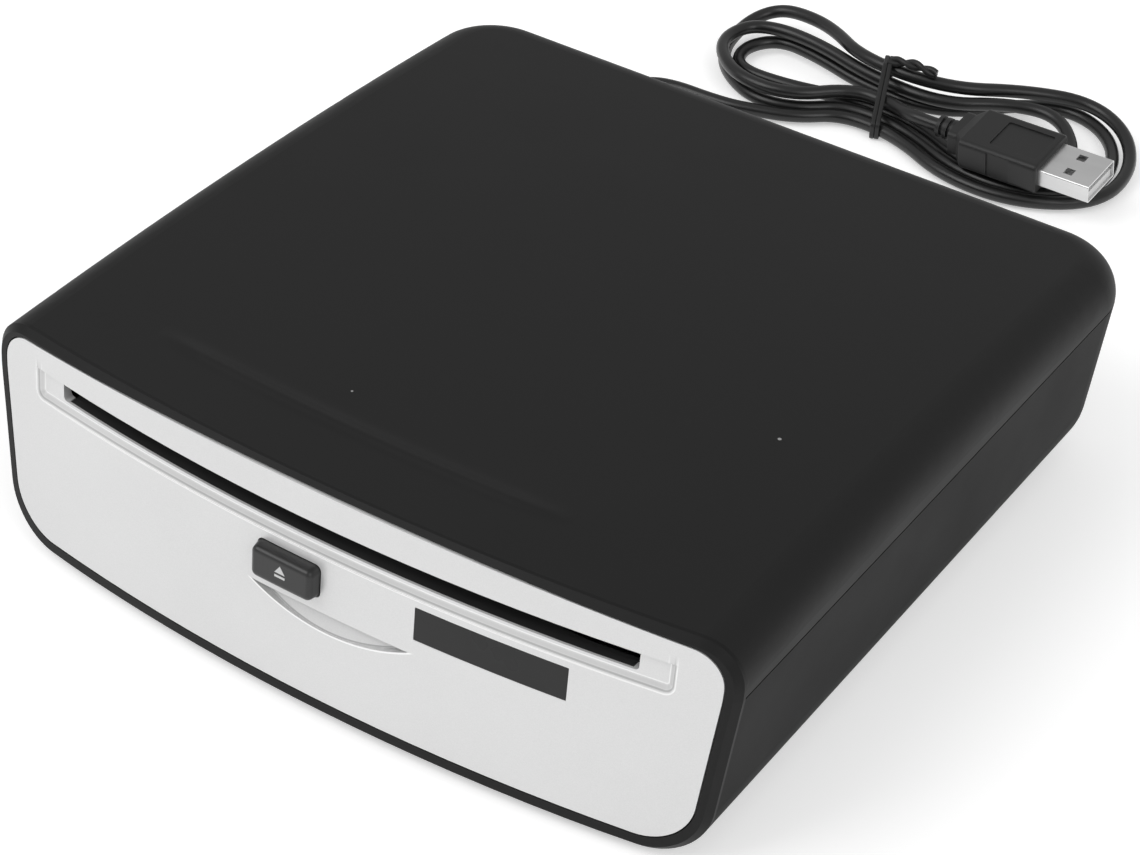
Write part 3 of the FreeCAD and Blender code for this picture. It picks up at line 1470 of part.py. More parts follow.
spacing = hank_length/len(samples)
skip = int(5*cord_diameter/spacing)
least = 1e9
for i in range(len(samples)):
    for j in range(i + skip, len(samples)):
        away = samples[i].distanceToPoint(samples[j])
        if away < least:
            least = away
            nearest = (samples[i], samples[j])
print("hank length", round(hank_length, 1), "least radius", round(min(radii), 1), "least gap",
      round(least - cord_diameter, 2),
      "volume share", round(hank.Volume/(hank_length*math.pi*cord_radius**2), 3), "solids", len(hank.Solids),
      "lowest", round(hank.BoundBox.ZMin, 2), "nearest", nearest)
waist_heights = []
for point in samples:
    if abs(point.x - hank_x) < 1.0:
        waist_heights.append((round(point.y, 1), round(point.z, 1)))
print("waist", waist_heights)

relief_out = relief_wall_y + math.tan(taper_angle)*relief_flange_radius + 0.05
boot_end = relief_out + relief_boot
lead_points = [V(relief_x, boot_end, relief_z), V(relief_x, 105.5, relief_z), V(-65.0, 118.5, 8.5),
               V(-73.0, 128.5, hank_low + 0.5), V(-72.8, 138.0, hank_low), V(-67.0, hank_start.y, hank_low),
               hank_start]
keep("usb_lead", cord("usb_lead", lead_points, cord_diameter))

# Strain relief, with its neck in the rear wall
relief_in = relief_wall_y - wall - math.tan(taper_angle)*relief_flange_radius - 0.05
relief = rod(relief_flange_radius, relief_flange, V(relief_x, relief_out, relief_z), Y_AXIS)
relief = relief.fuse(rod(relief_neck_radius, relief_out - relief_in, V(relief_x, relief_in, relief_z),
                         Y_AXIS))
relief = relief.fuse(rod(relief_flange_radius, relief_in - inner_start_y,
                         V(relief_x, inner_start_y, relief_z), Y_AXIS))
boot = Part.makeCone(relief_boot_radius, relief_tip_radius, relief_boot, V(relief_x, relief_out, relief_z),
                     Y_AXIS)
for k in range(relief_rings):
    share = (k + 1.0)/(relief_rings + 0.6)
    radius = relief_boot_radius + (relief_tip_radius - relief_boot_radius)*share
    y = relief_out + relief_boot*share
    boot = boot.cut(tube(radius + 2, radius - relief_ring_depth, 0.9, V(relief_x, y, relief_z), Y_AXIS))
keep("cord_relief", relief.fuse(boot).removeSplitter())

# Wire tie round the waist of the hank
print("tie and plug")
tie_skew = math.cos(math.radians(tie_turn))
tie_near = (waist_near - cord_radius - tie_side_spare)/tie_skew
tie_far = (waist_far + cord_radius + tie_side_spare)/tie_skew
tie_floor = hank_low - cord_radius
tie_near_top = hank_low + cord_radius + tie_spare
tie_top = hank_low + top_layer + cord_radius + tie_spare
tie_back = waist_far - cord_radius
tie_inner = [(tie_near, tie_floor, tie_corner), (tie_far, tie_floor, tie_corner),
             (tie_far, tie_top, tie_corner),
             (tie_back, tie_top, tie_corner), (tie_near, tie_near_top, tie_corner)]
wide = tie_thickness
tie_outer = [(tie_near - wide, tie_floor - wide, tie_corner + wide),
             (tie_far + wide, tie_floor - wide, tie_corner + wide),
             (tie_far + wide, tie_top + wide, tie_corner + wide),
             (tie_back - wide/2, tie_top + wide, tie_corner + wide),
             (tie_near - wide, tie_near_top + wide/2, tie_corner + wide)]
x0 = hank_x - tie_width/2
outer = Part.Face(outline(tie_outer, lambda a, b: V(x0, hank_y + a, b))).extrude(V(tie_width, 0, 0))
inside_x = hank_x - tie_width
inside = Part.Face(outline(tie_inner, lambda a, b: V(inside_x, hank_y + a, b))).extrude(V(2*tie_width, 0, 0))
tie = turned(outer.cut(inside), V(hank_x, hank_y, 0), Z_AXIS, tie_turn)
knot = turned(Part.Vertex(hank_x, hank_y + waist_far, tie_top + wide), V(hank_x, hank_y, 0), Z_AXIS,
              tie_turn).Point
for side in (-1, 1):
    twist = [knot]
    for k in range(1, tie_twist_steps + 1):
        share = k/tie_twist_steps
        swing = side*tie_twist_swing*(-1)**k
        twist.append(knot + V(tie_twist_length*share, swing + tie_twist_drop*share,
                              tie_twist_swing/2*(k % 2)))
    for p, q in zip(twist, twist[1:]):
        tie = tie.fuse(rod(tie_twist_radius, (q - p).Length, p, q - p))
        tie = tie.fuse(Part.makeSphere(tie_twist_radius, q))
print("tie in the hank", round(tie.common(hank).Volume, 3), "solids", len(tie.Solids))
keep("cord_tie", tie)


# Plug: moulded body, neck and ribbed relief, with its metal shell and tongue
def plug_wire(x, width, height, radius):
    return outline(rectangle(-width/2, width/2, -height/2, height/2, radius), lambda a, b: V(x, a, b))


def plug_block(x0, x1, width, height, radius):
    return Part.Face(plug_wire(x0, width, height, radius)).extrude(V(x1 - x0, 0, 0))


def placed(shape):
    origin = V(0, 0, 0)
    result = turned(shape, origin, X_AXIS, plug_roll)
    result = turned(result, origin, Y_AXIS, -plug_rise)
    result = turned(result, origin, Z_AXIS, plug_turn)
    result.translate(plug_tip)
    return result


neck_x = plug_relief_length
shoulder_x = neck_x + plug_neck_length
body_x = shoulder_x + plug_shoulder_length
plug_end = neck_x + plug_length
body = plug_block(body_x, plug_end, plug_width, plug_height, plug_round)
rear_edges = [e for e in body.Edges if abs(e.BoundBox.XMax - e.BoundBox.XMin) < plug_edge_round/2
              and e.BoundBox.XMin > plug_end - plug_edge_round]
body = body.makeFillet(plug_edge_round, rear_edges)
shoulder = Part.makeLoft([plug_wire(shoulder_x, plug_neck_width, plug_neck_height, plug_round),
                          plug_wire(body_x, plug_width, plug_height, plug_round)], True, True)
neck = plug_block(neck_x, shoulder_x, plug_neck_width, plug_neck_height, plug_round)
body = body.fuse(shoulder).fuse(neck)
grip_x = body_x + plug_grip_start
for side in (-1, 1):
    y = side*plug_width/2
    grip = box(grip_x, grip_x + plug_grip_length, y - plug_grip_depth, y + plug_grip_depth,
               -plug_grip_height/2, plug_grip_height/2)
    body = body.cut(grip)
inlay_x = body_x + plug_inlay_start
inlay = top_prism(rectangle(inlay_x, inlay_x + plug_inlay_length, -plug_inlay_width/2, plug_inlay_width/2,
                            plug_inlay_corner), plug_height/2 - plug_inlay_depth, plug_height)
body = body.cut(inlay)
body = body.fuse(rod(plug_relief_radius, plug_relief_length, V(0, 0, 0), X_AXIS))
for k in range(plug_relief_rings):
    groove_start = V(plug_ring_start + k*plug_ring_pitch, 0, 0)
    groove = tube(2*plug_relief_radius, plug_relief_radius - plug_ring_depth, plug_ring_width, groove_start,
                  X_AXIS)
    body = body.cut(groove)
shell_rear = plug_end - shell_bury
shell_front = plug_end + shell_length
shell_outer = plug_block(shell_rear, shell_front, shell_width, shell_height, shell_corner)
body = body.cut(plug_block(shell_rear, shell_front, shell_width, shell_height, shell_corner))
keep("usb_plug", placed(body.removeSplitter()))
inner_width = shell_width - 2*shell_wall
inner_height = shell_height - 2*shell_wall
shell_hollow = plug_block(shell_rear + shell_seat, 2*shell_front, inner_width, inner_height,
                          shell_inner_corner)
shell_tube = shell_outer.cut(shell_hollow)
hole_x = plug_end + shell_hole_back
for side in (-1, 1):
    y = side*shell_hole_spread
    hole = box(hole_x, hole_x + shell_hole, y - shell_hole/2, y + shell_hole/2, 0, shell_height)
    shell_tube = shell_tube.cut(hole)
keep("usb_plug_shell", placed(shell_tube))
tongue_low = -inner_height/2
tongue = box(shell_rear + shell_seat, shell_front - tongue_back, -tongue_width/2, tongue_width/2,
             tongue_low, tongue_low + tongue_height)
keep("usb_plug_tongue", placed(tongue))
print("plug in the hank", round(nodes["usb_plug"].common(hank).Volume, 4),
      round(nodes["usb_plug_shell"].common(hank).Volume, 4), "apart",
      round(nodes["usb_plug"].distToShape(hank)[0], 3))

for name, shape in nodes.items():
    print(name, shape.isValid(), round(shape.Volume),
          [round(v, 1) for v in (shape.BoundBox.XMin, shape.BoundBox.XMax, shape.BoundBox.YMin,
                                 shape.BoundBox.YMax, shape.BoundBox.ZMin, shape.BoundBox.ZMax)])

os.makedirs("parts", exist_ok=True)
for name, shape in nodes.items():
    shape.exportStep("parts/" + name + ".step")
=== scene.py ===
import math

import bmesh
import bpy
from mathutils import Matrix, Vector
from mathutils.bvhtree import BVHTree


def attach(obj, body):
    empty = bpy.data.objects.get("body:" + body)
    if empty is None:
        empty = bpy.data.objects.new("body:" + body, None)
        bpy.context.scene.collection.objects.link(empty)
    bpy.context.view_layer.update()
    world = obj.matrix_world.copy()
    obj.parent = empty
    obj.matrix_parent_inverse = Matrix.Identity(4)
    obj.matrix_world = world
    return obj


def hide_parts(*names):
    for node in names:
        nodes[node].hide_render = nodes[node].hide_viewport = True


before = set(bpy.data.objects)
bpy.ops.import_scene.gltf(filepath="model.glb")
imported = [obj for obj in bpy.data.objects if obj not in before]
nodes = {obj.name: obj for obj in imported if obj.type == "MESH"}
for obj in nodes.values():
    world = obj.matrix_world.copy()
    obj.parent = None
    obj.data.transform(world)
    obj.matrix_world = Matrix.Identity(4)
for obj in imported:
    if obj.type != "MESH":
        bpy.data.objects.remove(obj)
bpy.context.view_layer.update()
mm = 0.001
print("frame loaded:", len(nodes), "nodes")


def srgb(value):  # a grey or colour as it reads on a screen, 0 to 255
    parts = value if isinstance(value, (tuple, list)) else (value, value, value)
    return tuple(((c / 255 + 0.055) / 1.055) ** 2.4 if c > 10 else c / 255 / 12.92
                 for c in parts) + (1.0,)


def metres(points):
    return [Vector(p) * mm for p in points]


def place(name, data):
    piece = bpy.data.objects.new(name, data)
    bpy.context.scene.collection.objects.link(piece)
    return piece


# Camera: place in metres, angles in degrees, lens in millimetres
view = {
    "place": (0.24668, -0.39662, 0.36829),
    "yaw": 31.825,
    "pitch": 37.068,
    "roll": -3.023,
    "lens": 93.965,
    "sensor": 36.0,
    "near": 0.01,
    "far": 20.0,
}


def makeCamera(view):
    yaw, pitch, roll = (math.radians(view[k]) for k in ("yaw", "pitch", "roll"))
    forward = Vector((-math.sin(yaw) * math.cos(pitch), math.cos(yaw) * math.cos(pitch),
                      -math.sin(pitch)))
    right = Vector((math.cos(yaw), math.sin(yaw), 0.0))
    down = forward.cross(right)
    across = right * math.cos(roll) + down * math.sin(roll)
    under = down * math.cos(roll) - right * math.sin(roll)
    data = bpy.data.cameras.new("camera")
    data.lens = view["lens"]
    data.sensor_width = view["sensor"]
    data.sensor_fit = "HORIZONTAL"
    data.clip_start = view["near"]
    data.clip_end = view["far"]
    camera = place("camera", data)
    turn = Matrix((across, -under, -forward)).transposed().to_4x4()
    camera.matrix_world = Matrix.Translation(view["place"]) @ turn
    bpy.context.scene.camera = camera


makeCamera(view)
print("camera placed")

# Lead: one cord from the relief, three times round the hank and up into the plug.
# Diameter and length in metres, every point in millimetres.
lead = {
    "diameter": 0.0032,
    "length": 0.868,
    "exit": (-58.0, 94.25, 20.0),
    "hankCentre": (-19.0, 166.5),
    "low": 2.3,      # height of a strand that lies on the floor
    "second": 6.1,   # height of a strand that lies on another
}
leadRun = [lead["exit"], (-58.0, 105.5, 20.0), (-65.0, 118.5, 8.5), (-73.0, 128.5, 2.8),
           (-72.8, 138.0, 2.3), (-67.0, 143.9, 2.3)]
low, second = lead["low"], lead["second"]
hankTurns = [
    # first turn: near side, out round the right end and back over everything at the waist
    (-31.9, -22.6, low), (-23.9, -20.4, low), (-14.6, -17.0, low), (-6.2, -9.1, low),
    (8.9, -9.9, low), (25.6, -18.9, low), (44.6, -18.9, low), (60.3, -7.6, low),
    (60.8, 9.5, 2.5), (53.5, 21.8, 4.6), (41.0, 27.0, 5.8), (27.0, 20.2, 7.0),
    (13.0, 5.6, 9.5), (-9.2, 4.4, 10.2), (-24.4, 16.6, 8.2), (-36.6, 19.8, 7.0),
    (-42.4, 18.6, 5.6), (-45.6, 13.2, 4.2), (-46.2, 5.0, 2.5), (-43.6, -3.0, low),
    (-37.0, -10.6, low), (-27.0, -15.8, low),
    # second turn: inside the first on the right, round the small loop on the left
    (-16.6, -13.7, low), (-7.7, -5.2, low), (10.0, -6.1, low), (26.5, -15.1, low),
    (43.4, -15.1, low), (56.5, -5.7, low), (56.8, 8.6, low), (49.6, 21.0, low),
    (37.8, 26.6, low), (26.0, 21.6, low), (12.6, 5.6, low), (-8.1, 5.6, 2.4),
    (-24.2, 9.6, 3.4), (-36.0, 11.6, 2.9), (-41.8, 3.6, low), (-38.0, -6.0, low),
    (-24.0, -5.8, low), (-7.5, -1.4, low),
    # third turn: under the plug, up at its right end and on top from there
    (11.1, -2.4, low), (27.5, -11.3, low), (40.2, -11.3, low), (47.5, -4.2, 3.8),
    (47.4, 6.4, 4.4), (38.0, 16.4, second), (25.6, 14.0, 5.9), (13.0, 3.6, 6.1),
    (-7.8, 5.0, 6.2), (-22.9, 9.2, 6.9), (-35.9, 10.4, 6.7), (-43.8, 7.0, second),
    (-44.4, -4.6, second), (-33.2, -15.2, second), (-18.0, -15.2, second),
    (-7.5, -3.3, second), (3.9, -3.6, second), (10.4, -8.4, 8.1), (15.9, -9.1, 8.5),
    (19.3, -9.3, 8.7),
]
innerLead = {
    "diameter": 0.0016,
    "length": 0.0443,
    "points": [(-58.0, 77.7, 20.0), (-58.0, 71.0, 20.0), (-56.5, 70.2, 10.2),
               (-33.0, 66.9, 10.0), (-33.0, 59.0, 10.0)],
}
sweep = {"sides": 5, "steps": 8}


def makeCord(name, points, diameter):
    curve = bpy.data.curves.new(name, "CURVE")
    curve.dimensions = "3D"
    curve.bevel_depth = 1.0  # the tube's radius is this times each point's radius
    curve.bevel_resolution = sweep["sides"]
    curve.resolution_u = sweep["steps"]
    curve.use_fill_caps = True
    spline = curve.splines.new("NURBS")
    spline.points.add(len(points) - 1)
    for point, where in zip(spline.points, points):
        point.co = (*where, 1.0)
        point.radius = diameter / 2
    spline.order_u = 3
    spline.use_endpoint_u = True
    return place(name, curve)


hx, hy = lead["hankCentre"]
leadPoints = metres(leadRun + [(hx + x, hy + y, z) for x, y, z in hankTurns])
woundLead = makeCord("woundLead", leadPoints, lead["diameter"])
boardLead = makeCord("boardLead", metres(innerLead["points"]), innerLead["diameter"])
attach(boardLead, "case")
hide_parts("inner_cable")
print("cords laid")


# Node helpers
def addNode(tree, kind, sockets=None, **settings):
    made = tree.nodes.new(kind)
    for key, value in settings.items():
        setattr(made, key, value)
    for key, value in (sockets or {}).items():
        if isinstance(value, bpy.types.NodeSocket):
            tree.links.new(value, made.inputs[key])
        else:
            made.inputs[key].default_value = value
    return made


def maths(tree, operation, first, second=0.0, clamp=False):
    return addNode(tree, "ShaderNodeMath", {0: first, 1: second}, operation=operation,
                   use_clamp=clamp).outputs[0]


def times(tree, first, second, clamp=False):
    return maths(tree, "MULTIPLY", first, second, clamp)


def mixed(tree, share, first, second):
    return addNode(tree, "ShaderNodeMix", {0: share, 6: first, 7: second},
                   data_type="RGBA").outputs[2]


def spread(tree, value, low, high, toLow=0.0, toHigh=1.0):
    sockets = {"Value": value, "From Min": low, "From Max": high, "To Min": toLow,
               "To Max": toHigh}
    return addNode(tree, "ShaderNodeMapRange", sockets).outputs["Result"]


def stretched(tree, where, scale):
    return addNode(tree, "ShaderNodeMapping", {"Vector": where, "Scale": scale}).outputs["Vector"]


def noise(tree, where, scale, detail, **sockets):
    made = addNode(tree, "ShaderNodeTexNoise", {"Vector": where, "Scale": scale,
                                                "Detail": detail, **sockets})
    return made.outputs["Fac"]


def parted(tree, where):
    return addNode(tree, "ShaderNodeSeparateXYZ", {"Vector": where}).outputs


def makeGroup(name, inputs, outputs):
    group = bpy.data.node_groups.new(name, "ShaderNodeTree")
    for label, kind, value in inputs:
        made = group.interface.new_socket(name=label, in_out="INPUT",
                                          socket_type="NodeSocket" + kind)
        if value is not None:
            made.default_value = value
    for label in outputs:
        group.interface.new_socket(name=label, in_out="OUTPUT", socket_type="NodeSocketFloat")
    entry = group.nodes.new("NodeGroupInput")
    leave = group.nodes.new("NodeGroupOutput")
    return group, entry.outputs, leave.inputs


def useGroup(tree, group, sockets):
    return addNode(tree, "ShaderNodeGroup", sockets, node_tree=group).outputs


# Moulded grain: fine pits with broad, faint patches
grainSizes = {"detail": 3.0, "roughness": 0.6, "noiseShare": 0.6, "cellShare": 0.4,
              "patchDetail": 4.0, "patchLow": 0.3, "patchHigh": 0.7}


def makeGrain(sizes):
    group, given, result = makeGroup("mouldGrain", [
        ("Place", "Vector", None), ("Pits", "Float", 3000.0), ("Patches", "Float", 40.0)],
        ["Height", "Mottle"])
    pits = noise(group, given["Place"], given["Pits"], sizes["detail"],
                 Roughness=sizes["roughness"])
    cells = addNode(group, "ShaderNodeTexVoronoi",
                    {"Vector": given["Place"], "Scale": given["Pits"]}, feature="SMOOTH_F1")
    height = maths(group, "ADD", times(group, pits, sizes["noiseShare"]),
                   times(group, cells.outputs["Distance"], sizes["cellShare"]))
    patches = noise(group, given["Place"], given["Patches"], sizes["patchDetail"])
    mottle = spread(group, patches, sizes["patchLow"], sizes["patchHigh"])
    group.links.new(height, result["Height"])
    group.links.new(mottle, result["Mottle"])
    return group


# Rubbed edges: where the rounded normal parts from the true one, broken up by noise
rubSizes = {"samples": 4, "flat": 0.995, "sharp": 0.9, "chips": 700.0, "chipDetail": 5.0,
            "chipLow": 0.4, "chipHigh": 0.62}


def makeRub(sizes):
    group, given, result = makeGroup("rubbedEdge", [
        ("Place", "Vector", None), ("Radius", "Float", 0.0005)], ["Mask"])
    rounded = addNode(group, "ShaderNodeBevel", {"Radius": given["Radius"]},
                      samples=sizes["samples"])
    shape = addNode(group, "ShaderNodeNewGeometry")
    dot = addNode(group, "ShaderNodeVectorMath",
                  {0: rounded.outputs["Normal"], 1: shape.outputs["Normal"]},
                  operation="DOT_PRODUCT").outputs["Value"]
    edge = spread(group, dot, sizes["flat"], sizes["sharp"])
    chips = noise(group, given["Place"], sizes["chips"], sizes["chipDetail"])
    kept = spread(group, chips, sizes["chipLow"], sizes["chipHigh"])
    group.links.new(times(group, edge, kept, clamp=True), result["Mask"])
    return group


# Dust: few bright specks, each upright column of cells with its own chance and size
dustSizes = {"smallest": 0.02, "largest": 0.065}


def makeDust(sizes):
    group, given, result = makeGroup("dustSpecks", [
        ("Place", "Vector", None), ("Cells", "Float", 160.0), ("Chance", "Float", 0.1)], ["Mask"])
    flat = stretched(group, given["Place"], (1, 1, 0))
    cells = addNode(group, "ShaderNodeTexVoronoi", {"Vector": flat, "Scale": given["Cells"]})
    lot = addNode(group, "ShaderNodeSeparateColor", {"Color": cells.outputs["Color"]})
    chosen = maths(group, "LESS_THAN", lot.outputs[0], given["Chance"])
    reach = spread(group, lot.outputs[1], 0.0, 1.0, sizes["smallest"], sizes["largest"])
    near = maths(group, "LESS_THAN", cells.outputs["Distance"], reach)
    group.links.new(times(group, chosen, near), result["Mask"])
    return group


# Fine lines in one direction, for turned, ground and rolled metal
lineSizes = {"detail": 4.0, "roughness": 0.65, "broad": 0.12, "broadDetail": 2.0,
             "streakLow": 0.35, "streakHigh": 0.65}


def makeLines(sizes):
    group, given, result = makeGroup("fineLines", [
        ("Place", "Vector", None), ("Scale", "Float", 800.0)], ["Height", "Streak"])
    fine = noise(group, given["Place"], given["Scale"], sizes["detail"],
                 Roughness=sizes["roughness"])
    broad = noise(group, given["Place"], times(group, given["Scale"], sizes["broad"]),
                  sizes["broadDetail"])
    group.links.new(fine, result["Height"])
    streak = spread(group, broad, sizes["streakLow"], sizes["streakHigh"])
    group.links.new(streak, result["Streak"])
    return group


mouldGrain, rubbedEdge = makeGrain(grainSizes), makeRub(rubSizes)
dustSpecks, fineLines = makeDust(dustSizes), makeLines(lineSizes)

# What a finish has where its own dictionary says nothing else
plain = {
    "colour": 60, "tint": 66, "rough": 0.5, "roughSpread": 0.06, "metal": 0.0, "shine": 0.5,
    "coat": 0.0, "coatRough": 0.1, "pits": 3000.0, "patches": 40.0, "depth": 0.00001,
    "rub": 0.0004, "rubColour": 90, "rubShare": 0.35, "dust": 0.0, "dustColour": 190,
    "dustShare": 0.6, "along": None, "lines": 900.0, "clear": 0.0,
}
lineShares = {"height": (0.8, 0.2), "tone": (0.6, 0.4)}  # the lines' share, then the grain's


def weighted(tree, lines, grain, shares):
    return maths(tree, "ADD", times(tree, lines, shares[0]), times(tree, grain, shares[1]))


# One finish: two close tones in patches, rubbed edges, dust, grain or lines in the surface
def makeFinish(name, values, form=None, paint=None):
    look = {**plain, **values}
    material = bpy.data.materials.new(name)
    material.use_nodes = True
    tree = material.node_tree
    tree.nodes.clear()
    output = tree.nodes.new("ShaderNodeOutputMaterial")
    shader = addNode(tree, "ShaderNodeBsdfPrincipled", {
        "Metallic": look["metal"], "Specular IOR Level": look["shine"],
        "Coat Weight": look["coat"], "Coat Roughness": look["coatRough"],
        "Transmission Weight": look["clear"]})
    tree.links.new(shader.outputs["BSDF"], output.inputs["Surface"])
    where = addNode(tree, "ShaderNodeTexCoord").outputs["Object"]
    grain = useGroup(tree, mouldGrain, {"Place": where, "Pits": look["pits"],
                                        "Patches": look["patches"]})
    height, mottle = grain["Height"], grain["Mottle"]
    if look["along"]:
        lines = useGroup(tree, fineLines, {"Place": stretched(tree, where, look["along"]),
                                           "Scale": look["lines"]})
        height = weighted(tree, lines["Height"], height, lineShares["height"])
        mottle = weighted(tree, lines["Streak"], mottle, lineShares["tone"])
    colour = mixed(tree, mottle, srgb(look["colour"]), srgb(look["tint"]))
    if paint:
        colour = paint(tree, where, colour)
    if look["rub"]:
        rub = useGroup(tree, rubbedEdge, {"Place": where, "Radius": look["rub"]})["Mask"]
        colour = mixed(tree, times(tree, rub, look["rubShare"]), colour, srgb(look["rubColour"]))
    if look["dust"]:
        specks = useGroup(tree, dustSpecks, {"Place": where, "Chance": look["dust"]})["Mask"]
        colour = mixed(tree, times(tree, specks, look["dustShare"]), colour,
                       srgb(look["dustColour"]))
    tree.links.new(colour, shader.inputs["Base Color"])
    rough = spread(tree, mottle, 0.0, 1.0, look["rough"] - look["roughSpread"],
                   look["rough"] + look["roughSpread"])
    tree.links.new(rough, shader.inputs["Roughness"])
    bump = addNode(tree, "ShaderNodeBump", {"Height": height, "Distance": look["depth"]})
    if form:
        shape, size = form(tree, where)
        under = addNode(tree, "ShaderNodeBump", {"Height": shape, "Distance": size})
        tree.links.new(under.outputs["Normal"], bump.inputs["Normal"])
    tree.links.new(bump.outputs["Normal"], shader.inputs["Normal"])
    return material


def dress(name, material):
    for slot in nodes[name].material_slots:
        slot.material = material


# Casing
crease = {"y": -0.0625, "left": -0.052, "right": 0.040, "fade": 0.012, "width": 0.0016,
          "height": 0.0007, "bow": 1.1}


def creaseForm(tree, where):  # a faint ridge on the roof behind the slot
    at = parted(tree, where)
    bow = times(tree, times(tree, at["X"], at["X"]), crease["bow"])
    away = maths(tree, "SUBTRACT", maths(tree, "SUBTRACT", at["Y"], bow), crease["y"])
    near = maths(tree, "DIVIDE", away, crease["width"])
    ridge = maths(tree, "EXPONENT", times(tree, times(tree, near, near), -1.0))
    left, right, fade = crease["left"], crease["right"], crease["fade"]
    ends = times(tree, spread(tree, at["X"], left, left + fade),
                 spread(tree, at["X"], right, right - fade))
    return times(tree, ends, ridge), crease["height"]


casing = {
    "top_cover": {"colour": 24, "tint": 27, "rough": 0.54, "roughSpread": 0.03, "shine": 0.22,
                  "pits": 3600.0, "depth": 0.000012, "rub": 0.0006, "rubColour": 48,
                  "rubShare": 0.2, "dust": 0.04},
    "bottom_shell": {"colour": 24, "tint": 27, "rough": 0.62, "roughSpread": 0.04,
                     "shine": 0.12, "pits": 3000.0, "depth": 0.000016, "rub": 0.0005,
                     "rubColour": 60, "rubShare": 0.25},
    "front_frame": {"colour": 18, "tint": 21, "rough": 0.5, "roughSpread": 0.04, "shine": 0.2,
                    "pits": 4200.0, "depth": 0.000006, "rub": 0.0},
    "slot_lip": {"colour": 40, "tint": 46, "rough": 0.6, "roughSpread": 0.06, "shine": 0.2,
                 "pits": 2600.0, "depth": 0.00002, "rub": 0.0003},
    "rubber_feet": {"colour": 34, "tint": 40, "rough": 0.82, "shine": 0.25, "pits": 2200.0,
                    "depth": 0.00003},
    "cord_relief": {"colour": 28, "tint": 33, "rough": 0.55, "shine": 0.35, "pits": 3000.0,
                    "depth": 0.00001},
}
for name, look in casing.items():
    dress(name, makeFinish(name, look, creaseForm if name == "top_cover" else None))

panelPaint = {"colour": 215, "tint": 220, "rough": 0.36, "roughSpread": 0.03, "metal": 0.35,
              "shine": 0.5, "pits": 9000.0, "patches": 25.0, "depth": 0.000004, "rub": 0.0,
              "coat": 0.15, "coatRough": 0.25}
flake = {"scale": 7000.0, "share": 0.16, "tone": 248}
# Each painted highlight and painted shade line: distance out from the edge, width (both in
# millimetres), tone and share
recess = {
    "left": -69.5, "right": 69.8, "low": 36.4, "high": 45.0, "fadeFrom": 42.0, "corner": 2.0,
    "runOff": 10.0,  # how far its outline goes on above the panel
    # painted highlight at the outer edge, painted shade inside it, a painted shaded band on the
    # bevel, painted highlight at its foot
    "lines": [(0.05, 0.3, 252, 0.9), (-0.42, 0.34, 150, 0.6), (-0.95, 0.7, 196, 0.5),
              (-1.52, 0.26, 250, 0.8)],
}
pocket = {
    "middle": 2.9, "high": 24.5, "low": 20.55, "half": 17.0, "fade": 0.3,
    # painted highlight along the lower edge, then painted shade just inside it
    "lines": [(0.22, 0.34, 254, 0.95), (-0.18, 0.3, 140, 0.6)],
    # painted shade along the straight top edge, under the button
    "browShade": (0.0, 0.26, 150, 0.5),
}
softLine = {"outer": 0.6, "inner": 0.25}  # where a line starts and is full, in its widths


def flakes(tree, where, colour):  # the paint's metal flakes, each cell lighter or darker
    cells = addNode(tree, "ShaderNodeTexVoronoi", {"Vector": where, "Scale": flake["scale"]})
    lot = addNode(tree, "ShaderNodeSeparateColor", {"Color": cells.outputs["Color"]}).outputs[0]
    return mixed(tree, times(tree, lot, flake["share"]), colour, srgb(flake["tone"]))


def frontPlace(tree, where):  # x and z in millimetres
    at = parted(tree, where)
    return [times(tree, at[axis], 1000.0) for axis in ("X", "Z")]


def lineMask(tree, away, middle, width):  # 1 on a soft line at a given distance from an edge
    off = maths(tree, "ABSOLUTE", maths(tree, "SUBTRACT", away, middle))
    return spread(tree, off, width * softLine["outer"], width * softLine["inner"])


# mixes one line of painted light into the colour: bright for a highlight, dark for shade
def paintLightLine(tree, mask, limit, share, colour, tone):
    return mixed(tree, times(tree, times(tree, mask, limit), share), colour, srgb(tone))


def fromCorner(tree, value, low, high, corner):  # how far past the middle part of a side
    off = maths(tree, "ABSOLUTE", maths(tree, "SUBTRACT", value, (low + high) / 2))
    return maths(tree, "SUBTRACT", off, (high - low) / 2 - corner)


def reachOf(tree, first, second):
    return maths(tree, "SQRT", maths(tree, "ADD", times(tree, first, first),
                                     times(tree, second, second)))


def recessPaintedLight(tree, where, colour):  # painted highlights and painted shade along the stepped edge, standing in for light on its bevel
    x, z = frontPlace(tree, where)
    corner = recess["corner"]
    qx = fromCorner(tree, x, recess["left"], recess["right"], corner)
    qz = fromCorner(tree, z, recess["low"], recess["high"] + recess["runOff"], corner)
    outside = reachOf(tree, maths(tree, "MAXIMUM", qx, 0.0), maths(tree, "MAXIMUM", qz, 0.0))
    inside = maths(tree, "MINIMUM", maths(tree, "MAXIMUM", qx, qz), 0.0)
    away = maths(tree, "SUBTRACT", maths(tree, "ADD", outside, inside), corner)
    below = spread(tree, z, recess["high"], recess["fadeFrom"])
    for offset, width, tone, share in recess["lines"]:
        colour = paintLightLine(tree, lineMask(tree, away, offset, width), below, share, colour, tone)
    return colour


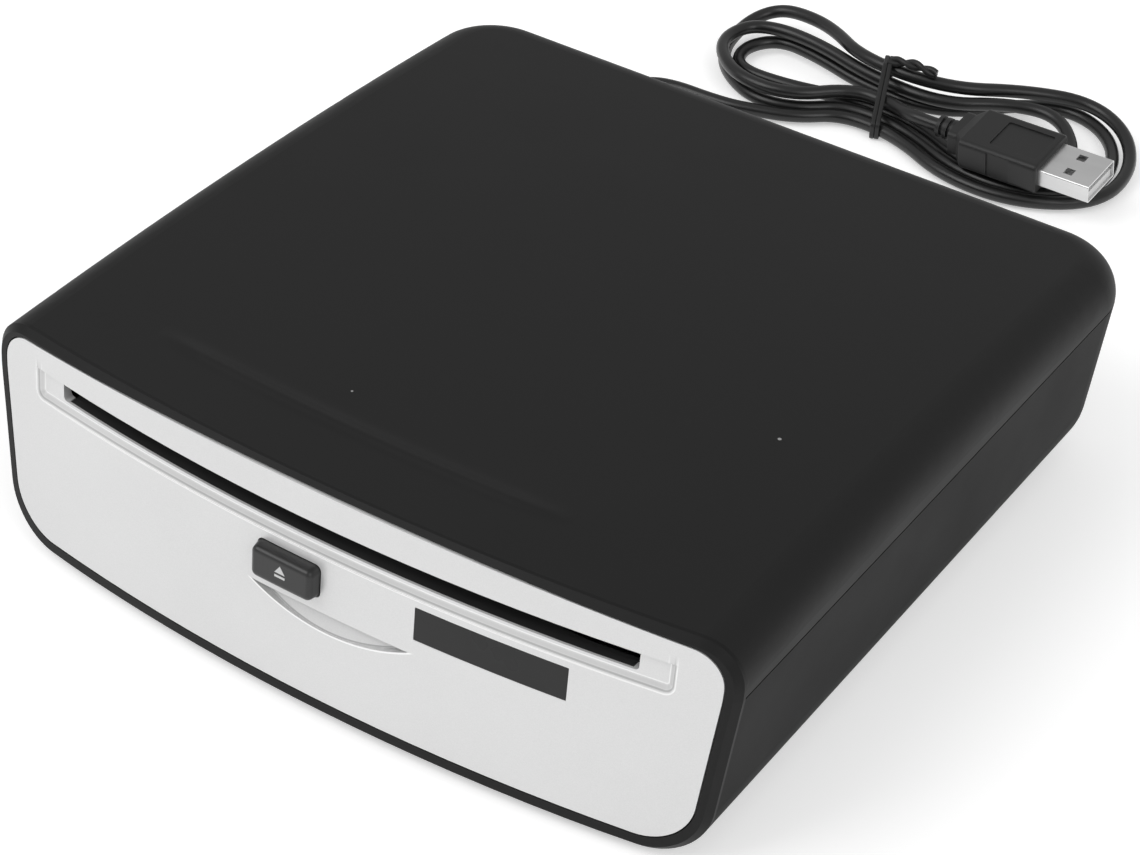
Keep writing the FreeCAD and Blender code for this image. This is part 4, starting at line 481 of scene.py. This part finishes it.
def pocketPaintedLight(tree, where, colour):  # painted highlight on the half-moon's lower lip, painted shade inside it and along its top edge
    x, z = frontPlace(tree, where)
    drop = pocket["high"] - pocket["low"]
    radius = (pocket["half"] ** 2 + drop ** 2) / (2 * drop)
    x = maths(tree, "SUBTRACT", x, pocket["middle"])
    rise = maths(tree, "SUBTRACT", z, pocket["low"] + radius)
    away = maths(tree, "SUBTRACT", reachOf(tree, x, rise), radius)
    under = spread(tree, z, pocket["high"] + pocket["fade"], pocket["high"])
    for offset, width, tone, share in pocket["lines"]:
        colour = paintLightLine(tree, lineMask(tree, away, offset, width), under, share, colour, tone)
    offset, width, tone, share = pocket["browShade"]
    across = spread(tree, maths(tree, "ABSOLUTE", x), pocket["half"],
                    pocket["half"] - pocket["fade"])
    browShade = lineMask(tree, maths(tree, "SUBTRACT", z, pocket["high"]), offset, width)
    return paintLightLine(tree, browShade, across, share, colour, tone)


# the silver paint's flakes, then painted highlights and painted shade at the recess and the
# half-moon
def panelFace(tree, where, colour):
    return pocketPaintedLight(tree, where, recessPaintedLight(tree, where, flakes(tree, where, colour)))


dress("front_panel", makeFinish("silverPaint", panelPaint, paint=panelFace))
print("casing dressed")

# Front controls
controls = {
    "eject_button": {"colour": 34, "tint": 38, "rough": 0.34, "roughSpread": 0.04,
                     "shine": 0.45, "pits": 4200.0, "depth": 0.000006, "rub": 0.0006,
                     "rubColour": 92, "rubShare": 0.4},
    "display_window": {"colour": 48, "tint": 50, "rough": 0.3, "roughSpread": 0.03,
                       "shine": 0.16, "pits": 5000.0, "depth": 0.000001, "rub": 0.0},
    "display_module": {"colour": 24, "tint": 28, "rough": 0.4},
    "tact_switch": {"colour": 32, "tint": 36, "rough": 0.45},
    "switch_plunger": {"colour": (196, 150, 70), "tint": (206, 160, 80), "rough": 0.4},
}
for name, look in controls.items():
    dress(name, makeFinish(name, look))

symbol = {"x": -5.95, "z": 30.9, "width": 2.3, "triangle": 1.6, "gap": 0.45, "bar": 0.5,
          "proud": 0.02, "sunk": 0.05, "rayFrom": -200.0}
symbolInk = {"colour": 205, "tint": 212, "rough": 0.45, "rub": 0.0, "pits": 9000.0,
             "depth": 0.000003}


def meshPiece(name, corners, faces, material):
    mesh = bpy.data.meshes.new(name)
    mesh.from_pydata([tuple(c) for c in corners], [], faces)
    mesh.validate()
    mesh.materials.append(material)
    return place(name, mesh)


def surfaceOf(name):
    made = bmesh.new()
    made.from_mesh(nodes[name].data)
    tree = BVHTree.FromBMesh(made)
    made.free()
    return tree


def makeSymbol(symbol):  # printed triangle over a bar, laid on the button's front face
    face = surfaceOf("eject_button")
    left, right = symbol["x"] - symbol["width"] / 2, symbol["x"] + symbol["width"] / 2
    foot, low = symbol["z"] + symbol["gap"] / 2, symbol["z"] - symbol["gap"] / 2
    bottom = low - symbol["bar"]
    shapes = [[(left, foot), (right, foot), (symbol["x"], foot + symbol["triangle"])],
              [(left, bottom), (right, bottom), (right, low), (left, low)]]
    corners, faces = [], []
    for outline in shapes:
        start, count = len(corners), len(outline)
        for drop in (symbol["proud"], -symbol["sunk"]):  # the front ring, then the sunk one
            for a, b in outline:
                source = Vector((a, symbol["rayFrom"], b)) * mm
                hit = face.ray_cast(source, Vector((0, 1, 0)))[0]
                corners.append(hit - Vector((0, drop * mm, 0)))
        ring = [start + k for k in range(count)]
        back = [start + count + k for k in range(count)]
        faces.append(ring)
        faces.append(back[::-1])
        faces += [[ring[k], back[k], back[(k + 1) % count], ring[(k + 1) % count]]
                  for k in range(count)]
    piece = meshPiece("ejectSymbol", corners, faces, makeFinish("symbolInk", symbolInk))
    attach(piece, "button")


makeSymbol(symbol)
print("front controls dressed")

# Lead and plug
cordSkin = {"colour": 20, "tint": 25, "rough": 0.34, "roughSpread": 0.05, "shine": 0.5,
            "pits": 2400.0, "patches": 60.0, "depth": 0.000008, "rub": 0.0}
cordFinish = makeFinish("cordSkin", cordSkin)
woundLead.data.materials.append(cordFinish)
boardLead.data.materials.append(cordFinish)
plug = {
    "usb_plug": {"colour": 30, "tint": 35, "rough": 0.46, "roughSpread": 0.05, "shine": 0.4,
                 "pits": 3200.0, "depth": 0.000014, "rub": 0.0004, "rubColour": 78,
                 "rubShare": 0.35},
    "usb_plug_shell": {"colour": 222, "tint": 212, "rough": 0.34, "roughSpread": 0.05,
                       "metal": 1.0, "along": (0.08, 1, 1), "lines": 2400.0,
                       "depth": 0.000003, "rub": 0.0002, "rubColour": 245},
    "usb_plug_tongue": {"colour": 232, "tint": 226, "rough": 0.45},
}
for name, look in plug.items():
    dress(name, makeFinish(name, look))
print("lead and plug dressed")

# Wire tie: a ribbon of two wires drawn tight round the waist, then its ends twisted on top.
# Sizes in millimetres, points from the hank's centre.
tie = {
    "ribbon": {"Width": 1.12, "Thickness": 0.62, "Edge": 0.28, "Apart": 0.57, "Corner": 1.5},
    "twist": {"Width": 1.5, "Thickness": 1.48, "Edge": 0.7, "Apart": 0.56, "Corner": 0.0},
    "turns": 1.3,
    "cornerSteps": 6,
    "edgeSteps": 4,
    "merge": 0.001,
    "ring": [(3.9, -11.95, 0.36), (3.9, -11.95, 4.5), (-1.6, 2.5, 12.15), (-3.4, 7.3, 12.15),
             (-3.4, 7.3, 0.36)],
    "tail": [(-1.9, 4.2, 12.3), (0.6, 4.6, 12.9), (4.0, 4.7, 13.3), (7.0, 5.0, 13.1),
             (10.2, 5.2, 12.4)],
}
tieSkin = {"colour": 24, "tint": 29, "rough": 0.4, "shine": 0.45, "pits": 2600.0,
           "depth": 0.000008, "rub": 0.0}


def makeWireTree(tie):  # two wires side by side, swept along a path and twisted
    tree = bpy.data.node_groups.new("twinWire", "GeometryNodeTree")

    def newSocket(label, way, kind):
        tree.interface.new_socket(name=label, in_out=way, socket_type="NodeSocket" + kind)

    newSocket("Geometry", "INPUT", "Geometry")
    for label in ("Width", "Thickness", "Edge", "Apart", "Corner", "Turns"):
        newSocket(label, "INPUT", "Float")
    newSocket("Finish", "INPUT", "Material")
    newSocket("Geometry", "OUTPUT", "Geometry")
    given = tree.nodes.new("NodeGroupInput").outputs
    rounded = addNode(tree, "GeometryNodeFilletCurve", {
        "Curve": given["Geometry"], "Radius": given["Corner"], "Count": tie["cornerSteps"]},
        mode="POLY")
    along = addNode(tree, "GeometryNodeSplineParameter").outputs["Factor"]
    tilt = times(tree, times(tree, along, given["Turns"]), math.tau)
    path = addNode(tree, "GeometryNodeSetCurveTilt", {"Curve": rounded.outputs["Curve"],
                                                      "Tilt": tilt})
    section = addNode(tree, "GeometryNodeCurvePrimitiveQuadrilateral", {
        "Width": given["Width"], "Height": given["Thickness"]})
    section = addNode(tree, "GeometryNodeFilletCurve", {
        "Curve": section.outputs["Curve"], "Radius": given["Edge"], "Count": tie["edgeSteps"]},
        mode="POLY")
    pair = tree.nodes.new("GeometryNodeJoinGeometry")
    for side in (-1.0, 1.0):
        shift = addNode(tree, "ShaderNodeCombineXYZ", {"X": times(tree, given["Apart"], side)})
        moved = addNode(tree, "GeometryNodeTransform", {
            "Geometry": section.outputs["Curve"], "Translation": shift.outputs["Vector"]})
        tree.links.new(moved.outputs["Geometry"], pair.inputs["Geometry"])
    swept = addNode(tree, "GeometryNodeCurveToMesh", {
        "Curve": path.outputs["Curve"], "Profile Curve": pair.outputs["Geometry"],
        "Fill Caps": True})
    solid = addNode(tree, "GeometryNodeRealizeInstances", {"Geometry": swept.outputs["Mesh"]})
    dressed = addNode(tree, "GeometryNodeSetMaterial", {
        "Geometry": solid.outputs["Geometry"], "Material": given["Finish"]})
    leave = tree.nodes.new("NodeGroupOutput")
    tree.links.new(dressed.outputs["Geometry"], leave.inputs["Geometry"])
    return tree


def layWire(tree, points, closed, sizes, turns, finish):
    values = {label: value * mm for label, value in sizes.items()}
    values.update({"Turns": turns, "Finish": finish})
    curve = bpy.data.curves.new("wirePath", "CURVE")
    curve.dimensions = "3D"
    spline = curve.splines.new("POLY" if closed else "NURBS")
    spline.points.add(len(points) - 1)
    for point, (x, y, z) in zip(spline.points, points):
        point.co = ((hx + x) * mm, (hy + y) * mm, z * mm, 1.0)
    spline.use_cyclic_u = closed
    if not closed:
        spline.order_u = 3
        spline.use_endpoint_u = True
    carrier = place("wirePath", curve)
    modifier = carrier.modifiers.new("twinWire", "NODES")
    modifier.node_group = tree
    for item in tree.interface.items_tree:
        if item.in_out == "INPUT" and item.name in values:
            modifier[item.identifier] = values[item.name]
    bpy.context.view_layer.update()
    depsgraph = bpy.context.evaluated_depsgraph_get()
    mesh = bpy.data.meshes.new_from_object(carrier.evaluated_get(depsgraph))
    bpy.data.objects.remove(carrier)
    return mesh


def makeTie(tie):
    tree = makeWireTree(tie)
    skin = makeFinish("tieSkin", tieSkin)
    ring = layWire(tree, tie["ring"], True, tie["ribbon"], 0.0, skin)
    tail = layWire(tree, tie["tail"], False, tie["twist"], tie["turns"], skin)
    both = bmesh.new()
    both.from_mesh(ring)
    both.from_mesh(tail)
    bmesh.ops.remove_doubles(both, verts=both.verts, dist=tie["merge"] * mm)
    bmesh.ops.recalc_face_normals(both, faces=both.faces)
    both.to_mesh(ring)
    both.free()
    ring.shade_smooth()
    piece = place("wireTie", ring)
    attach(piece, "case")
    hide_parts("cord_tie")
    size = [round(v / mm, 2) for v in piece.dimensions]
    print("wire tie:", len(ring.polygons), "faces, size", size)
    return piece


wireTie = makeTie(tie)
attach(woundLead, "case")
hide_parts("usb_lead", "usb_hank")
print("lead tied")

# Drive frame, gears, motors and boards inside the casing: finishes that several nodes share
inside = {
    "sheetSteel": {
        "look": {"colour": 196, "tint": 182, "rough": 0.38, "roughSpread": 0.08, "metal": 1.0,
                 "patches": 120.0, "pits": 1200.0, "depth": 0.000006, "rub": 0.0005,
                 "rubColour": 222},
        "nodes": ["drive_tray", "drive_cover", "clamp_arm"]},
    "groundSteel": {
        "look": {"colour": 205, "tint": 192, "rough": 0.22, "roughSpread": 0.06, "metal": 1.0,
                 "along": (1, 0.05, 0.05), "lines": 2600.0, "depth": 0.000002, "rub": 0.0},
        "nodes": ["roller_shaft", "idler_post", "deck_pins", "clamp_pin", "guide_rods",
                  "lead_screw"]},
    "plated": {
        "look": {"colour": 186, "tint": 172, "rough": 0.34, "metal": 1.0, "pits": 2600.0,
                 "depth": 0.000004, "rub": 0.0003, "rubColour": 215},
        "nodes": ["case_screws", "cover_screws", "drive_screws", "board_screws", "load_motor",
                  "spindle_motor", "sled_motor"]},
    "acetal": {
        "look": {"colour": (226, 223, 212), "tint": (216, 213, 201), "rough": 0.42,
                 "shine": 0.45, "pits": 2600.0, "depth": 0.00001, "rub": 0.0003,
                 "rubColour": 240},
        "nodes": ["roller_bushes", "roller_gear", "idler_gear", "cam_slider"]},
    "darkMoulding": {
        "look": {"colour": 40, "tint": 48, "rough": 0.5, "pits": 2400.0, "depth": 0.00002,
                 "rub": 0.0004},
        "nodes": ["traverse_deck", "clamp_puck"]},
    "softRubber": {
        "look": {"colour": 36, "tint": 44, "rough": 0.8, "shine": 0.25, "pits": 2400.0,
                 "depth": 0.00003, "rub": 0.0},
        "nodes": ["drive_dampers", "load_roller", "turntable_pad"]},
    "ivory": {
        "look": {"colour": (222, 216, 196), "tint": (214, 207, 186), "rough": 0.5,
                 "rub": 0.0003, "rubColour": 236},
        "nodes": ["usb_header", "ribbon_sockets"]},
}
for name, family in inside.items():
    finish = makeFinish(name, family["look"])
    for member in family["nodes"]:
        dress(member, finish)

# Finishes of one node each
single = {
    "motor_pinion": {"colour": (214, 176, 98), "tint": (200, 160, 84), "rough": 0.28,
                     "metal": 1.0, "depth": 0.000003},
    "turntable": {"colour": 206, "tint": 198, "rough": 0.3, "metal": 1.0, "along": (1, 1, 6),
                  "lines": 1500.0, "depth": 0.000003},
    "pickup_sled": {"colour": 168, "tint": 156, "rough": 0.48, "metal": 1.0, "pits": 1800.0,
                    "depth": 0.00002},
    "objective_lens": {"colour": (150, 170, 226), "tint": (160, 180, 232), "rough": 0.04,
                       "roughSpread": 0.01, "clear": 0.85, "rub": 0.0, "pits": 9000.0,
                       "depth": 0.0},
    "board_chips": {"colour": 44, "tint": 50, "rough": 0.6, "pits": 5000.0, "depth": 0.000008,
                    "rub": 0.0002},
    "flat_cable": {"colour": (232, 232, 226), "tint": (224, 224, 218), "rough": 0.35,
                   "along": (6, 0.05, 0.05), "lines": 220.0, "depth": 0.00001},
}
for name, look in single.items():
    dress(name, makeFinish(name, look))

solderMask = {"colour": (18, 84, 44), "tint": (22, 94, 50), "rough": 0.32, "roughSpread": 0.05,
              "shine": 0.5, "pits": 5000.0, "depth": 0.000004, "rub": 0.0002,
              "rubColour": (150, 140, 96)}
copper = {"scale": 240.0, "rings": 7.0, "low": 0.42, "high": 0.5, "share": 0.5,
          "tone": (40, 128, 70)}


def traces(tree, where, colour):  # copper runs under the mask: the edges of square cells
    cells = addNode(tree, "ShaderNodeTexVoronoi", {"Vector": where, "Scale": copper["scale"]},
                    distance="CHEBYCHEV")
    rings = maths(tree, "FRACT", times(tree, cells.outputs["Distance"], copper["rings"]))
    run = spread(tree, rings, copper["low"], copper["high"])
    return mixed(tree, times(tree, run, copper["share"]), colour, srgb(copper["tone"]))


boardFinish = makeFinish("solderMask", solderMask, paint=traces)
dress("main_board", boardFinish)
dress("front_board", boardFinish)
print("inside dressed")

# Room: pale floor, even world light and two soft lamps, each with place, size and power
room = {
    "floorTone": 238, "floorLift": 0.42, "floorRough": 0.9, "floorShine": 0.1,
    "floorHalf": 3.0, "world": 0.55, "aim": (0, 0.04, 0.02),
    "lamps": [((-0.9, -1.1, 1.5), 1.3, 15.0), ((1.4, -0.7, 1.2), 1.0, 7.0)],
}
white = (1, 1, 1, 1)


def makeFloor(room):
    material = bpy.data.materials.new("paleFloor")
    material.use_nodes = True
    tree = material.node_tree
    shader = tree.nodes["Principled BSDF"]
    shader.inputs["Base Color"].default_value = srgb(room["floorTone"])
    shader.inputs["Roughness"].default_value = room["floorRough"]
    shader.inputs["Specular IOR Level"].default_value = room["floorShine"]
    path = addNode(tree, "ShaderNodeLightPath").outputs
    seen = maths(tree, "MAXIMUM", path["Is Camera Ray"],
                 maths(tree, "MAXIMUM", path["Is Glossy Ray"], path["Is Transmission Ray"]))
    shader.inputs["Emission Color"].default_value = white
    tree.links.new(times(tree, seen, room["floorLift"]), shader.inputs["Emission Strength"])
    half = room["floorHalf"]
    corners = [(-half, -half, 0), (half, -half, 0), (half, half, 0), (-half, half, 0)]
    meshPiece("floor", corners, [(0, 1, 2, 3)], material)


def makeLights(room):
    scene = bpy.context.scene
    scene.view_settings.view_transform = "Standard"
    world = bpy.data.worlds.new("studio")
    world.use_nodes = True
    background = world.node_tree.nodes["Background"].inputs
    background["Color"].default_value = white
    background["Strength"].default_value = room["world"]
    scene.world = world
    for where, size, power in room["lamps"]:
        data = bpy.data.lights.new("softLamp", "AREA")
        data.energy = power
        data.size = size
        lamp = place("softLamp", data)
        lamp.location = where
        toward = Vector(room["aim"]) - Vector(where)
        lamp.rotation_euler = toward.to_track_quat("-Z", "Y").to_euler()


makeFloor(room)
makeLights(room)
print("room lit")
